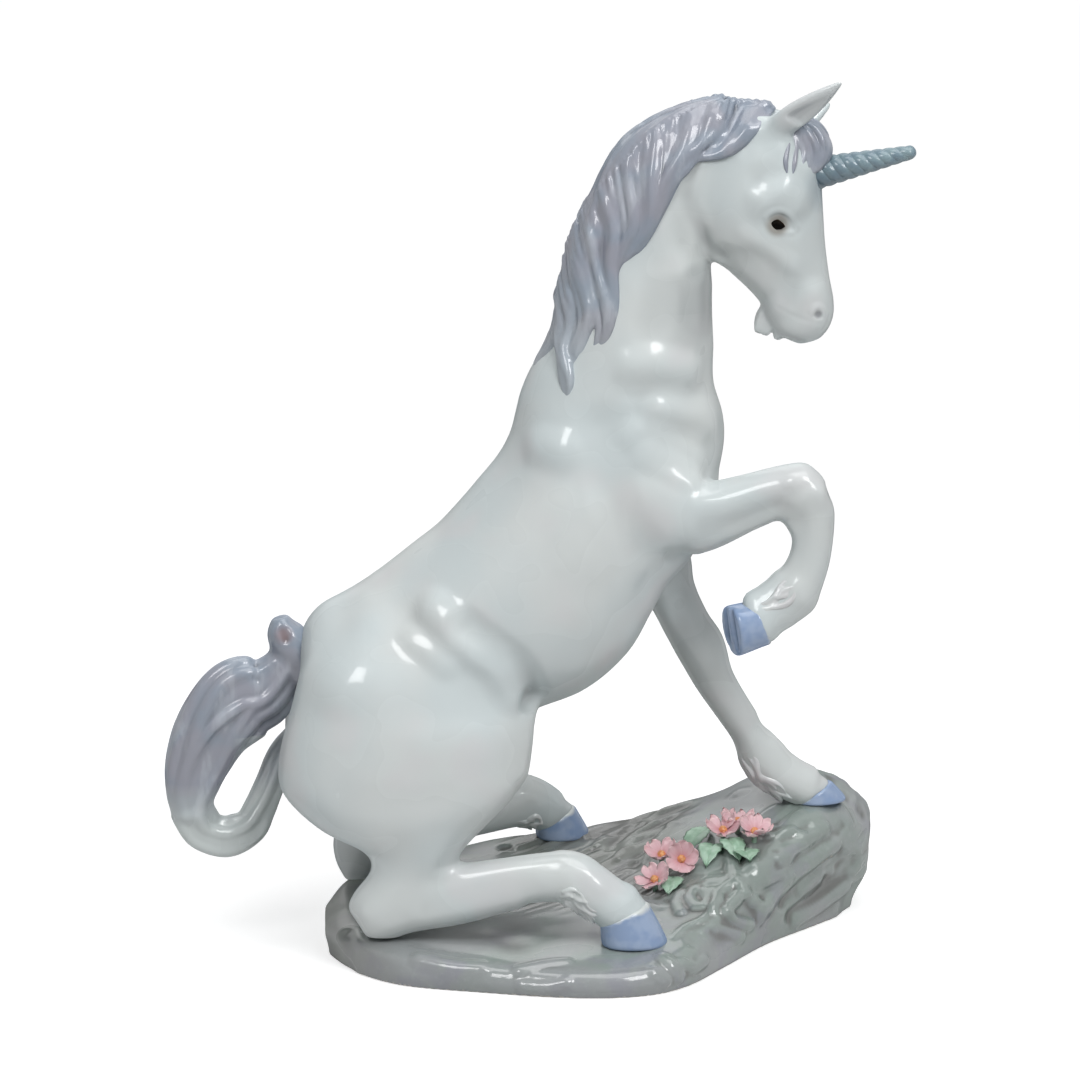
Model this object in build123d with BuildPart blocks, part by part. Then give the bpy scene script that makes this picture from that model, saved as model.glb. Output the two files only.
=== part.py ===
from build123d import *
import os
from math import cos, pi, sin

os.makedirs("parts", exist_ok=True)

# Porcelain walls and shared allowances
wall = 3.0
overrun = 4.0
oval_points = 8

# Rock that the figure sits on
rock_length = 159.0
rock_depth = 127.0
rock_height = 36.0
rock_left = 78.0
rock_front = 51.0
rock_floor = 4.0
rock_tuck = 3.0
vent_diameter = 6.0
vent_setback = 22.0

# Trunk and neck
rump_setback = 87.0
haunch_lift = 19.0
body_length = 116.0
body_rise = 151.5
body_breadth = 60.0
neck_reach = 62.0
neck_rise = 78.0
neck_breadth = 38.0

# Head, horn and ears
head_length = 70.0
head_depth = 40.0
head_breadth = 26.0
head_turn = 9.0
horn_length = 29.0
horn_diameter = 8.8
horn_tip_diameter = 2.4
horn_rise = 17.0
horn_flute = 0.45
horn_turns = 1.5
ear_reach = 19.0
ear_rise = 15.5
ear_spread = 5.0
ear_width = 11.5
ear_thickness = 5.0
ear_wall = 1.1
forelock_reach = 11.0
forelock_drop = 21.0
forelock_girth = 10.5
beard_length = 6.5
beard_girth = 6.0

# Mane
mane_thickness = 6.5
mane_breadth = 17.0
lock_width = 6.8
lock_thickness = 5.2

# Tail
tail_reach = 27.0
tail_drop = 52.0
tail_girth = 26.0
tail_sway = 10.0
tail_root_rise = 16.0
tail_root_reach = 9.0
tail_root_girth = 12.0

# Legs: reach along X, splay along Y, rise or drop along Z, and girth
haunch_breadth = 60.0
near_forearm_reach = 50.0
near_forearm_splay = 6.0
near_forearm_rise = 10.0
near_forearm_girth = 30.0
near_cannon_reach = 12.0
near_cannon_drop = 40.0
near_cannon_girth = 14.0
far_foreleg_reach = 50.0
far_foreleg_splay = 20.0
far_foreleg_girth = 20.0
near_shank_reach = 66.0
near_shank_splay = 5.0
near_shank_arch = 10.0
near_shank_girth = 16.0
far_shank_reach = 58.0
far_shank_splay = 22.0
far_shank_arch = 8.0
far_shank_girth = 15.0
hoof_length = 11.5
hoof_girth = 14.5
feather_length = 9.0
feather_girth = 6.0

# Flowers, leaves and vines
petal_length = 5.6
petal_width = 5.2
petal_thickness = 0.9
petal_cup = 1.2
petal_count = 5
bead_diameter = 2.8
flower_lift = 5.0
stem_diameter = 1.6
leaf_length = 10.5
leaf_width = 5.5
leaf_thickness = 1.0
vine_diameter = 3.2

up = Vector(0, 0, 1)
depth_axis = Vector(0, 1, 0)


def oval(centre, across, along, half_across, half_deep):
    """A smooth oval in the plane through centre that faces along."""
    with BuildSketch(Plane(origin=centre, x_dir=across, z_dir=along)) as outline:
        with BuildLine():
            turns = [2 * pi * i / oval_points for i in range(oval_points)]
            Spline([(half_across * cos(t), half_deep * sin(t)) for t in turns], periodic=True)
        make_face()
    return outline.sketch


def chord_oval(back, front, half_breadth, inset=0.0):
    """An oval across a body, from its back point to its front point."""
    chord = (front - back).normalized()
    along = depth_axis.cross(chord).normalized()
    return oval((back + front) * 0.5, chord, along, (front - back).length / 2 - inset, half_breadth - inset)


def limb(start, span, girth, shares):
    """Ovals along a limb, square to its path. Shares: x, y and z of span, half depth and half breadth of girth."""
    centres = [start + Vector(span.X * x, span.Y * y, span.Z * z) for x, y, z, _, _ in shares]
    ovals = []
    for i, (_, _, _, deep, broad) in enumerate(shares):
        along = (centres[min(i + 1, len(centres) - 1)] - centres[max(i - 1, 0)]).normalized()
        across = along.cross(depth_axis).normalized()
        ovals.append(oval(centres[i], across, along, girth * deep, girth * broad))
    return ovals


def end_of(start, span, share):
    """The centre of one row of a limb's table."""
    return start + Vector(span.X * share[0], span.Y * share[1], span.Z * share[2])


def hit(solids, axis, pick):
    """The extreme crossing of an axis with some solids, or None where it misses them."""
    points = [p for s in solids for f in s.faces() for p, _ in f.find_intersection_points(axis)]
    return pick(points) if points else None


def rock_top(x, y):
    """The height of the rock's surface over one place."""
    top = hit([rock.part], Axis((x, y, 0), (0, 0, 1)), lambda found: max(found, key=lambda p: p.Z))
    return top.Z if top else 0.0


def save(piece, name):
    """Labels a finished piece and writes it."""
    piece.part.label = name
    export_step(piece.part, f"parts/{name}.step")


# Rock: x, front edge and back edge, then its height at the front, middle and back
rock_shares = [
    (0.000, 0.330, 0.520, 0.14, 0.17, 0.17),
    (0.045, 0.220, 0.640, 0.24, 0.30, 0.32),
    (0.145, 0.100, 0.750, 0.28, 0.33, 0.42),
    (0.300, 0.043, 0.843, 0.26, 0.33, 0.50),
    (0.460, 0.004, 0.890, 0.25, 0.36, 0.56),
    (0.585, 0.016, 0.920, 0.27, 0.45, 0.67),
    (0.667, 0.087, 0.945, 0.34, 0.61, 0.81),
    (0.742, 0.240, 0.970, 0.50, 0.80, 0.92),
    (0.818, 0.405, 0.985, 0.74, 0.94, 0.97),
    (0.906, 0.545, 1.000, 0.90, 1.00, 0.97),
    (0.965, 0.640, 0.985, 0.84, 0.92, 0.84),
    (1.000, 0.720, 0.930, 0.40, 0.46, 0.42),
]
brow_share = 0.09
flank_share = 0.5


def rock_slice(x_share, front_share, back_share, low_share, middle_share, high_share, inset, floor):
    """One upright slice across the rock."""
    front = rock_depth * front_share - rock_front + inset
    back = rock_depth * back_share - rock_front - inset
    width = back - front
    low = rock_height * low_share - inset
    middle = rock_height * middle_share - inset
    high = rock_height * high_share - inset
    with BuildSketch(Plane(origin=(rock_length * x_share - rock_left, 0, 0), x_dir=(0, 1, 0), z_dir=(1, 0, 0))) as s:
        with BuildLine():
            crown = Spline(
                (front + rock_tuck, floor),
                (front, low * flank_share),
                (front + width * brow_share, low),
                (front + width / 2, middle),
                (back - width * brow_share, high),
                (back, high * flank_share),
                (back - rock_tuck, floor),
            )
            Line(crown @ 1, crown @ 0)
        make_face()
    return s.sketch


with BuildPart() as rock:
    loft([rock_slice(*row, 0, -overrun) for row in rock_shares])
    split(bisect_by=Plane.XY, keep=Keep.TOP)

with BuildPart() as rock_cavity:
    loft([rock_slice(*row, rock_floor, -overrun) for row in rock_shares[2:-2]])
    split(bisect_by=Plane.XY.offset(rock_floor), keep=Keep.TOP)

with BuildPart() as base_rock:
    add(rock)
    add(rock_cavity, mode=Mode.SUBTRACT)
    with BuildSketch(Plane((-vent_setback, 0, 0))):
        Circle(vent_diameter / 2)
    extrude(amount=rock_floor + overrun, mode=Mode.SUBTRACT)
save(base_rock, "base_rock")

# Body: back x and z, front x and z, half breadth, from the rump up to the withers
body_shares = [
    (0.0325, 0.370, 0.0300, 0.280, 0.150),
    (0.0450, 0.430, 0.0700, 0.210, 0.320),
    (0.0800, 0.474, 0.1375, 0.160, 0.400),
    (0.1500, 0.508, 0.2550, 0.150, 0.460),
    (0.2625, 0.562, 0.4125, 0.190, 0.483),
    (0.3500, 0.620, 0.5750, 0.276, 0.490),
    (0.4250, 0.680, 0.7375, 0.328, 0.500),
    (0.4875, 0.736, 0.8450, 0.400, 0.490),
    (0.5325, 0.784, 0.9050, 0.480, 0.467),
    (0.5600, 0.830, 0.9450, 0.536, 0.440),
    (0.5725, 0.872, 1.0050, 0.590, 0.417),
    (0.5850, 0.914, 1.0550, 0.680, 0.390),
    (0.6125, 0.964, 1.0725, 0.810, 0.345),
]
neck_shares = [
    (0.100, 0.118, 0.833, 0.053, 0.487),
    (0.160, 0.260, 0.823, 0.225, 0.434),
    (0.225, 0.400, 0.822, 0.350, 0.395),
    (0.295, 0.590, 0.800, 0.440, 0.355),
    (0.435, 0.810, 0.845, 0.530, 0.329),
    (0.641, 0.930, 0.900, 0.606, 0.303),
    (0.875, 0.992, 0.996, 0.656, 0.276),
]
hind_top_share = 0.305
body_low = rock_height * hind_top_share + haunch_lift


def body_point(x_share, z_share, y=0.0):
    """A point of the body's side view."""
    return Vector(body_length * x_share - rump_setback, y, body_rise * z_share + body_low)


neck_root = body_point(body_shares[-1][0], body_shares[-1][1])


def neck_point(x_share, z_share, y=0.0):
    """A point of the neck's side view."""
    return neck_root + Vector(neck_reach * x_share, y, neck_rise * z_share)


body_chords = [(body_point(a, b), body_point(c, d), body_breadth * w) for a, b, c, d, w in body_shares]
neck_chords = [(neck_point(a, b), neck_point(c, d), neck_breadth * w) for a, b, c, d, w in neck_shares]
chords = body_chords + neck_chords

with BuildPart() as body:
    loft([chord_oval(*chord) for chord in chords])

with BuildPart() as body_cavity:
    loft([chord_oval(*chord, wall) for chord in chords[2:-1]])

collar_back, collar_front, _ = body_chords[-1]
collar = Plane(origin=(collar_back + collar_front) * 0.5, z_dir=depth_axis.cross(collar_front - collar_back))

with BuildPart() as body_shell:
    add(body)
    add(body_cavity, mode=Mode.SUBTRACT)

with BuildPart() as trunk:
    add(body_shell)
    split(bisect_by=collar, keep=Keep.TOP)
save(trunk, "trunk")

with BuildPart() as neck:
    add(body_shell)
    split(bisect_by=collar, keep=Keep.BOTTOM)
save(neck, "neck")

# Head: jaw side x and drop, face side x and drop, half breadth
head_shares = [
    (0.0940, 0.043, 0.4560, 0.043, 0.230),
    (0.0350, 0.094, 0.4925, 0.086, 0.350),
    (-0.130, 0.266, 0.6950, 0.223, 0.473),
    (-0.2475, 0.447, 0.7100, 0.360, 0.500),
    (-0.190, 0.567, 0.7250, 0.490, 0.473),
    (-0.045, 0.679, 0.7400, 0.593, 0.415),
    (0.1450, 0.790, 0.7675, 0.713, 0.338),
    (0.2900, 0.884, 0.7975, 0.807, 0.292),
    (0.3775, 0.953, 0.7975, 0.876, 0.270),
    (0.4775, 0.983, 0.7675, 0.931, 0.215),
    (0.5500, 1.000, 0.7100, 0.974, 0.115),
]
poll = neck_chords[-1][0]
forward = Vector(1, 0, 0).rotate(Axis.Z, -head_turn)
sideways = depth_axis.rotate(Axis.Z, -head_turn)


def head_point(x_share, drop_share, side_share=0.0):
    """A point of the head, from the poll forwards, down and to the far side."""
    return poll + forward * (head_depth * x_share) - up * (head_length * drop_share) + sideways * (
        head_breadth * side_share
    )


def head_oval(jaw_x, jaw_drop, face_x, face_drop, half_share):
    """One oval across the turned head."""
    jaw = head_point(jaw_x, jaw_drop)
    face = head_point(face_x, face_drop)
    chord = (face - jaw).normalized()
    along = sideways.cross(chord).normalized()
    return oval((jaw + face) * 0.5, chord, along, (face - jaw).length / 2, head_breadth * half_share)


with BuildPart() as head:
    loft([head_oval(*row) for row in head_shares])
    add(body, mode=Mode.SUBTRACT)
save(head, "head")

# Horn: a fluted taper that leaves the forehead
horn_seat = head_point(0.60, 0.290)
horn_rings = 7
flute_count = 4
flute_points = 6
horn_way = (forward * cos(pi * horn_rise / 180) + up * sin(pi * horn_rise / 180)).normalized()
horn_side = horn_way.cross(up).normalized()


def horn_ring(share):
    """One lobed ring of the horn, turned in step with its place along it."""
    centre = horn_seat - horn_way * overrun * (1 - share) + horn_way * horn_length * share
    radius = (horn_diameter * (1 - share) + horn_tip_diameter * share) / 2
    with BuildSketch(Plane(origin=centre, x_dir=horn_side, z_dir=horn_way)) as s:
        with BuildLine():
            points = []
            for i in range(flute_count * flute_points):
                angle = 2 * pi * i / (flute_count * flute_points)
                lobe = radius + horn_flute * (1 - share / 2) * cos(flute_count * (angle - horn_turns * share))
                points.append((lobe * cos(angle), lobe * sin(angle)))
            Spline(points, periodic=True)
        make_face()
    return s.sketch


with BuildPart() as horn:
    loft([horn_ring(i / (horn_rings - 1)) for i in range(horn_rings)])
    add(head, mode=Mode.SUBTRACT)
save(horn, "horn")

# Ears: along the ear, half width and half thickness
ear_shares = [
    (-0.10, 0.34, 0.40),
    (0.12, 0.46, 0.50),
    (0.35, 0.50, 0.46),
    (0.60, 0.40, 0.36),
    (0.82, 0.24, 0.24),
    (1.00, 0.08, 0.12),
]
ear_seat_shares = {"near_ear": (0.40, 0.075, -0.26, -1), "far_ear": (0.46, 0.085, 0.24, 1)}


def ear_ovals(seat, way, side, inset, shift):
    """Ovals along an ear, thinned by inset and moved towards its open side by shift."""
    length = way.length
    heading = way.normalized()
    across = heading.cross(side).normalized()
    face = across.cross(heading).normalized()
    ovals = []
    for along, wide, thick in ear_shares:
        centre = seat + heading * (length * along) + face * shift
        half_wide = max(ear_width * wide - inset, ear_width * ear_shares[-1][1] / 2)
        half_thick = max(ear_thickness * thick - inset / 2, ear_thickness * ear_shares[-1][2] / 2)
        ovals.append(oval(centre, across, heading, half_wide, half_thick))
    return ovals


ears = []
for ear_name, (seat_x, seat_drop, seat_side, hand) in ear_seat_shares.items():
    ear_seat = head_point(seat_x, seat_drop, seat_side)
    ear_way = forward * ear_reach + up * ear_rise + sideways * (ear_spread * hand)
    ear_front = sideways * hand + forward
    with BuildPart() as ear_scoop:
        loft(ear_ovals(ear_seat, ear_way, ear_front, ear_wall, ear_thickness / 2)[2:])
    with BuildPart() as ear:
        loft(ear_ovals(ear_seat, ear_way, ear_front, 0, 0))
        add(ear_scoop, mode=Mode.SUBTRACT)
        add(head, mode=Mode.SUBTRACT)
        add(body, mode=Mode.SUBTRACT)
    ears.append(ear)
    save(ear, ear_name)

# Forelock over the forehead, and the beard under the chin
forelock_shares = [
    (0.00, 0.00, 0.00, 0.30, 0.34),
    (0.55, 0.08, -0.28, 0.50, 0.44),
    (0.95, 0.35, -0.62, 0.50, 0.40),
    (0.80, 0.75, -0.95, 0.34, 0.28),
    (0.50, 1.00, -1.20, 0.10, 0.10),
]
forelock_span = Vector(forelock_reach, -head_breadth * 0.38, forelock_drop)
with BuildPart() as forelock:
    loft(limb(head_point(0.42, 0.03), forelock_span, forelock_girth, forelock_shares))
    for neighbour in (head, horn, *ears, body):
        add(neighbour, mode=Mode.SUBTRACT)
save(forelock, "forelock")

beard_shares = [
    (0.00, 0.00, 0.00, 0.55, 0.50),
    (-0.70, 0.00, -0.15, 0.42, 0.40),
    (-1.10, 0.00, -0.65, 0.26, 0.25),
    (-1.15, 0.00, -1.15, 0.07, 0.07),
]
with BuildPart() as beard:
    loft(limb(head_point(0.44, 0.88), Vector(beard_length, beard_length, beard_length), beard_girth, beard_shares))
    add(head, mode=Mode.SUBTRACT)
save(beard, "beard")

# Mane: a crest along the back of the neck, then locks that fall over its near side
crest_rise_shares = [0.10, 0.48, 0.78, 0.95, 1.00, 0.88, 0.72, 0.62]
crest_breadth_shares = [0.20, 0.36, 0.44, 0.50, 0.50, 0.48, 0.46, 0.42]


def crest_oval(chord, rise_share, breadth_share):
    """One oval of the mane's crest, round the back of the neck."""
    back, front, _ = chord
    inward = (front - back).normalized()
    half = mane_thickness * (rise_share + 1) / 2
    centre = back + inward * (half - mane_thickness * rise_share)
    return oval(centre, inward, depth_axis.cross(inward).normalized(), half, mane_breadth * breadth_share)


crest_chords = [body_chords[-1]] + neck_chords
with BuildPart() as mane_crest:
    loft([crest_oval(c, r, b) for c, r, b in zip(crest_chords, crest_rise_shares, crest_breadth_shares)])
    for neighbour in (body, head, *ears, forelock):
        add(neighbour, mode=Mode.SUBTRACT)
save(mane_crest, "mane_crest")

# Locks: root x and z, tip x and z, bow, and width
lock_shares = [
    (1.080, 0.985, 0.960, 0.840, 0.04, 1.00),
    (0.860, 1.000, 0.775, 0.800, 0.04, 1.00),
    (0.740, 0.975, 0.640, 0.780, 0.05, 1.05),
    (0.560, 0.905, 0.500, 0.530, 0.06, 1.15),
    (0.430, 0.800, 0.455, 0.480, 0.05, 1.10),
    (0.325, 0.700, 0.400, 0.400, 0.05, 1.05),
    (0.240, 0.600, 0.360, 0.260, 0.05, 1.10),
    (0.180, 0.500, 0.330, 0.150, 0.05, 1.05),
    (0.140, 0.350, 0.250, 0.080, 0.03, 1.05),
    (0.110, 0.250, 0.150, -0.05, 0.02, 1.00),
]
# A lock's half width and half thickness along it
lock_profile_shares = [
    (0.00, 0.34, 0.40),
    (0.25, 0.48, 0.50),
    (0.55, 0.46, 0.46),
    (0.82, 0.28, 0.32),
    (1.00, 0.07, 0.12),
]
lock_sink_share = 0.1


def near_surface(x, z):
    """The near side of the neck and mane over one place of the side view."""
    nearest = hit(
        [body.part, mane_crest.part, head.part],
        Axis((x, 0, z), (0, 1, 0)),
        lambda found: min(found, key=lambda p: p.Y),
    )
    return nearest.Y if nearest else 0.0


def lock_ovals(root_x, root_z, tip_x, tip_z, bow, width):
    """Ovals of one lock, laid on the neck."""
    places = [
        neck_point(root_x + (tip_x - root_x) * t + bow * sin(pi * t), root_z + (tip_z - root_z) * t)
        for t, _, _ in lock_profile_shares
    ]
    centres = [Vector(p.X, near_surface(p.X, p.Z) + lock_thickness * lock_sink_share, p.Z) for p in places]
    ovals = []
    for i, (_, wide, thick) in enumerate(lock_profile_shares):
        along = (centres[min(i + 1, len(centres) - 1)] - centres[max(i - 1, 0)]).normalized()
        across = along.cross(depth_axis).normalized()
        ovals.append(oval(centres[i], across, along, lock_width * width * wide, lock_thickness * thick))
    return ovals


locks = []
for number, row in enumerate(lock_shares, 1):
    with BuildPart() as lock:
        loft(lock_ovals(*row))
        for neighbour in (body, head, mane_crest, *ears, forelock, *locks):
            add(neighbour, mode=Mode.SUBTRACT)
    locks.append(lock)
    save(lock, f"mane_lock_{number}")

# Haunches: back x and z, front x and z, side, half breadth
near_haunch_shares = [
    (0.205, 0.500, 0.300, 0.507, -0.150, 0.045),
    (0.155, 0.460, 0.350, 0.480, -0.200, 0.117),
    (0.055, 0.400, 0.485, 0.406, -0.250, 0.267),
    (0.000, 0.305, 0.590, 0.315, -0.295, 0.310),
    (-0.0275, 0.215, 0.5925, 0.223, -0.328, 0.315),
    (-0.015, 0.154, 0.565, 0.156, -0.352, 0.295),
    (0.070, 0.091, 0.490, 0.095, -0.375, 0.242),
    (0.180, 0.047, 0.435, 0.051, -0.392, 0.192),
    (0.2025, 0.008, 0.390, 0.004, -0.400, 0.163),
    (0.155, -0.051, 0.350, -0.043, -0.408, 0.150),
    (0.150, -0.095, 0.305, -0.091, -0.408, 0.125),
    (0.180, -0.140, 0.270, -0.140, -0.408, 0.075),
]
far_haunch_shares = [
    (0.205, 0.500, 0.300, 0.507, 0.150, 0.045),
    (0.155, 0.460, 0.350, 0.480, 0.200, 0.117),
    (0.055, 0.400, 0.485, 0.406, 0.250, 0.267),
    (0.000, 0.305, 0.580, 0.315, 0.295, 0.310),
    (-0.020, 0.215, 0.560, 0.223, 0.328, 0.315),
    (-0.005, 0.154, 0.500, 0.156, 0.360, 0.295),
    (0.050, 0.100, 0.430, 0.105, 0.390, 0.242),
    (0.115, 0.060, 0.360, 0.060, 0.420, 0.192),
    (0.125, 0.020, 0.310, 0.020, 0.440, 0.163),
    (0.100, -0.030, 0.280, -0.030, 0.455, 0.150),
    (0.105, -0.075, 0.250, -0.075, 0.460, 0.125),
    (0.130, -0.115, 0.210, -0.115, 0.460, 0.075),
]


def haunch_ovals(shares):
    """Ovals of a folded hind leg, from the flank down to the hock."""
    return [
        chord_oval(
            body_point(a, b, haunch_breadth * side), body_point(c, d, haunch_breadth * side), haunch_breadth * w
        )
        for a, b, c, d, side, w in shares
    ]


def hock_of(shares):
    """The centre of a folded leg's hock."""
    a, b, c, d, side, _ = shares[-3]
    return (body_point(a, b) + body_point(c, d)) * 0.5 + depth_axis * (haunch_breadth * side)


with BuildPart() as near_haunch:
    loft(haunch_ovals(near_haunch_shares))
    add(body, mode=Mode.SUBTRACT)
    add(rock, mode=Mode.SUBTRACT)
save(near_haunch, "near_haunch")

with BuildPart() as far_haunch:
    loft(haunch_ovals(far_haunch_shares))
    for neighbour in (body, rock, near_haunch):
        add(neighbour, mode=Mode.SUBTRACT)
save(far_haunch, "far_haunch")

# Shanks: from each hock forwards to the pastern
near_shank_shares = [
    (0.00, 0.0, 0.00, 0.40, 0.36),
    (0.28, 0.3, 0.20, 0.50, 0.42),
    (0.50, 0.6, 0.55, 0.45, 0.39),
    (0.70, 0.8, 0.74, 0.46, 0.41),
    (0.80, 0.9, 0.70, 0.50, 0.44),
    (0.90, 1.0, 0.28, 0.45, 0.42),
    (1.00, 1.0, -0.20, 0.42, 0.41),
]
far_shank_shares = [
    (0.00, 0.00, 0.00, 0.50, 0.45),
    (0.35, 0.27, 0.60, 0.45, 0.40),
    (0.62, 0.52, 1.00, 0.42, 0.38),
    (0.81, 0.80, 1.25, 0.47, 0.42),
    (0.92, 0.92, 0.95, 0.42, 0.40),
    (1.00, 1.00, 0.60, 0.43, 0.42),
]
near_hock = hock_of(near_haunch_shares)
far_hock = hock_of(far_haunch_shares)
near_shank_span = Vector(near_shank_reach, -near_shank_splay, near_shank_arch)
far_shank_span = Vector(far_shank_reach, far_shank_splay, far_shank_arch)

with BuildPart() as near_shank:
    loft(limb(near_hock, near_shank_span, near_shank_girth, near_shank_shares))
    for neighbour in (near_haunch, rock, body):
        add(neighbour, mode=Mode.SUBTRACT)
save(near_shank, "near_shank")

with BuildPart() as far_shank:
    loft(limb(far_hock, far_shank_span, far_shank_girth, far_shank_shares))
    for neighbour in (far_haunch, near_haunch, rock, body):
        add(neighbour, mode=Mode.SUBTRACT)
save(far_shank, "far_shank")

# Forelegs: the near one is raised and bent, the far one stands on the rock
near_forearm_shares = [
    (0.00, 0.00, 0.00, 0.400, 0.20),
    (0.16, 0.18, -0.25, 0.400, 0.25),
    (0.32, 0.35, -0.40, 0.310, 0.25),
    (0.55, 0.60, 0.04, 0.243, 0.21),
    (0.75, 0.80, 0.41, 0.215, 0.20),
    (0.90, 0.95, 0.50, 0.235, 0.21),
    (1.00, 1.00, 0.40, 0.200, 0.19),
    (1.05, 1.00, 0.30, 0.100, 0.10),
]
near_cannon_shares = [
    (0.00, 0.0, 0.03, 0.50, 0.46),
    (-0.28, 0.0, 0.20, 0.42, 0.40),
    (-0.29, 0.0, 0.45, 0.37, 0.36),
    (-0.12, 0.0, 0.64, 0.40, 0.38),
    (0.17, 0.0, 0.785, 0.47, 0.42),
    (0.68, 0.0, 0.91, 0.41, 0.40),
    (1.00, 0.0, 1.00, 0.44, 0.44),
]
far_foreleg_shares = [
    (0.00, 0.00, 0.000, 0.60, 0.45),
    (0.16, 0.16, 0.220, 0.50, 0.42),
    (0.24, 0.24, 0.320, 0.37, 0.35),
    (0.33, 0.31, 0.425, 0.35, 0.34),
    (0.41, 0.39, 0.505, 0.365, 0.35),
    (0.49, 0.50, 0.615, 0.30, 0.30),
    (0.60, 0.63, 0.720, 0.27, 0.28),
    (0.70, 0.75, 0.810, 0.27, 0.28),
    (0.79, 0.86, 0.900, 0.345, 0.33),
    (0.92, 0.93, 0.970, 0.31, 0.32),
    (1.05, 1.00, 1.010, 0.31, 0.32),
]
near_shoulder = body_point(0.888, 0.727, -body_breadth * 0.25)
near_forearm_span = Vector(near_forearm_reach, -near_forearm_splay, near_forearm_rise)
near_knee = near_shoulder + Vector(near_forearm_span.X * 0.9, near_forearm_span.Y, near_forearm_span.Z * 0.5)
near_cannon_span = Vector(-near_cannon_reach, 0, -near_cannon_drop)
far_shoulder = body_point(0.853, 0.673, body_breadth * 0.233)
far_foot_x = far_shoulder.X + far_foreleg_reach
far_foot_y = far_shoulder.Y + far_foreleg_splay
far_foot_z = rock_top(far_foot_x, far_foot_y) + hoof_girth * 0.36
far_foreleg_span = Vector(far_foreleg_reach, far_foreleg_splay, far_foot_z - far_shoulder.Z)

with BuildPart() as near_forearm:
    loft(limb(near_shoulder, near_forearm_span, near_forearm_girth, near_forearm_shares))
    add(body, mode=Mode.SUBTRACT)
save(near_forearm, "near_forearm")

with BuildPart() as near_cannon:
    loft(limb(near_knee, near_cannon_span, near_cannon_girth, near_cannon_shares))
    add(near_forearm, mode=Mode.SUBTRACT)
save(near_cannon, "near_cannon")

with BuildPart() as far_foreleg:
    loft(limb(far_shoulder, far_foreleg_span, far_foreleg_girth, far_foreleg_shares))
    add(body, mode=Mode.SUBTRACT)
    add(rock, mode=Mode.SUBTRACT)
save(far_foreleg, "far_foreleg")

# Hooves: a short flared cone off the end of each leg
hoof_shares = [
    (-0.25, -0.25, -0.25, 0.26, 0.26),
    (0.00, 0.00, 0.00, 0.42, 0.42),
    (0.35, 0.35, 0.35, 0.49, 0.48),
    (0.75, 0.75, 0.75, 0.47, 0.48),
    (1.00, 1.00, 1.00, 0.34, 0.38),
]
raised_hoof_shares = [
    (-0.25, -0.25, -0.25, 0.26, 0.26),
    (0.00, 0.00, 0.00, 0.42, 0.42),
    (0.35, 0.35, 0.35, 0.48, 0.48),
    (1.00, 1.00, 1.00, 0.53, 0.52),
]
planted_share = 0.30
raised_tilt_share = 0.32


def planted(ankle, reach_share, splay_share):
    """The way from an ankle to the toe of a hoof that stands on the rock."""
    x = ankle.X + hoof_length * reach_share
    y = ankle.Y + hoof_length * splay_share
    return Vector(x, y, rock_top(x, y) + hoof_girth * planted_share) - ankle


near_hind_ankle = end_of(near_hock, near_shank_span, near_shank_shares[-1])
far_hind_ankle = end_of(far_hock, far_shank_span, far_shank_shares[-1])
near_fore_ankle = end_of(near_knee, near_cannon_span, near_cannon_shares[-1])
far_fore_ankle = end_of(far_shoulder, far_foreleg_span, far_foreleg_shares[-1])
raised_way = Vector(-hoof_length, 0, -hoof_length * raised_tilt_share)
# Each hoof's leg, ankle, way to its toe, and profile
hoof_seats = {
    "near_hind_hoof": (near_shank, near_hind_ankle, planted(near_hind_ankle, 1.00, -0.05), hoof_shares),
    "far_hind_hoof": (far_shank, far_hind_ankle, planted(far_hind_ankle, 0.95, 0.20), hoof_shares),
    "near_fore_hoof": (near_cannon, near_fore_ankle, raised_way, raised_hoof_shares),
    "far_fore_hoof": (far_foreleg, far_fore_ankle, planted(far_fore_ankle, 0.95, 0.16), hoof_shares),
}
hooves = {}
for hoof_name, (leg, ankle, way, profile) in hoof_seats.items():
    with BuildPart() as hoof:
        loft(limb(ankle, way, hoof_girth, profile))
        add(leg, mode=Mode.SUBTRACT)
        add(rock, mode=Mode.SUBTRACT)
    hooves[hoof_name] = hoof
    save(hoof, hoof_name)

# Feathers: the tuft of hair behind each fetlock
feather_shares = [
    (0.00, 0.00, 0.00, 0.50, 0.55),
    (0.40, 0.40, 0.40, 0.48, 0.50),
    (0.75, 0.75, 0.75, 0.30, 0.34),
    (1.00, 1.00, 1.00, 0.08, 0.10),
]
near_hind_fetlock = end_of(near_hock, near_shank_span, near_shank_shares[-3])
far_hind_fetlock = end_of(far_hock, far_shank_span, far_shank_shares[-3])
near_fore_fetlock = end_of(near_knee, near_cannon_span, near_cannon_shares[-3])
far_fore_fetlock = end_of(far_shoulder, far_foreleg_span, far_foreleg_shares[-3])
# Each feather's leg, its root, and the way it hangs as shares of its length
feather_shares_by_leg = {
    "near_hind_feather": (near_shank, near_hind_fetlock, (-0.25, 0.0, -1.45)),
    "far_hind_feather": (far_shank, far_hind_fetlock, (-1.00, -0.2, -0.90)),
    "near_fore_feather": (near_cannon, near_fore_fetlock, (-1.35, 0.0, 0.55)),
    "far_fore_feather": (far_foreleg, far_fore_fetlock, (-0.60, 0.1, -1.20)),
}
for feather_name, (leg, fetlock, way) in feather_shares_by_leg.items():
    with BuildPart() as feather:
        loft(limb(fetlock, Vector(*way) * feather_length, feather_girth, feather_shares))
        for neighbour in (leg, rock, *hooves.values()):
            add(neighbour, mode=Mode.SUBTRACT)
    save(feather, feather_name)

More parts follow.
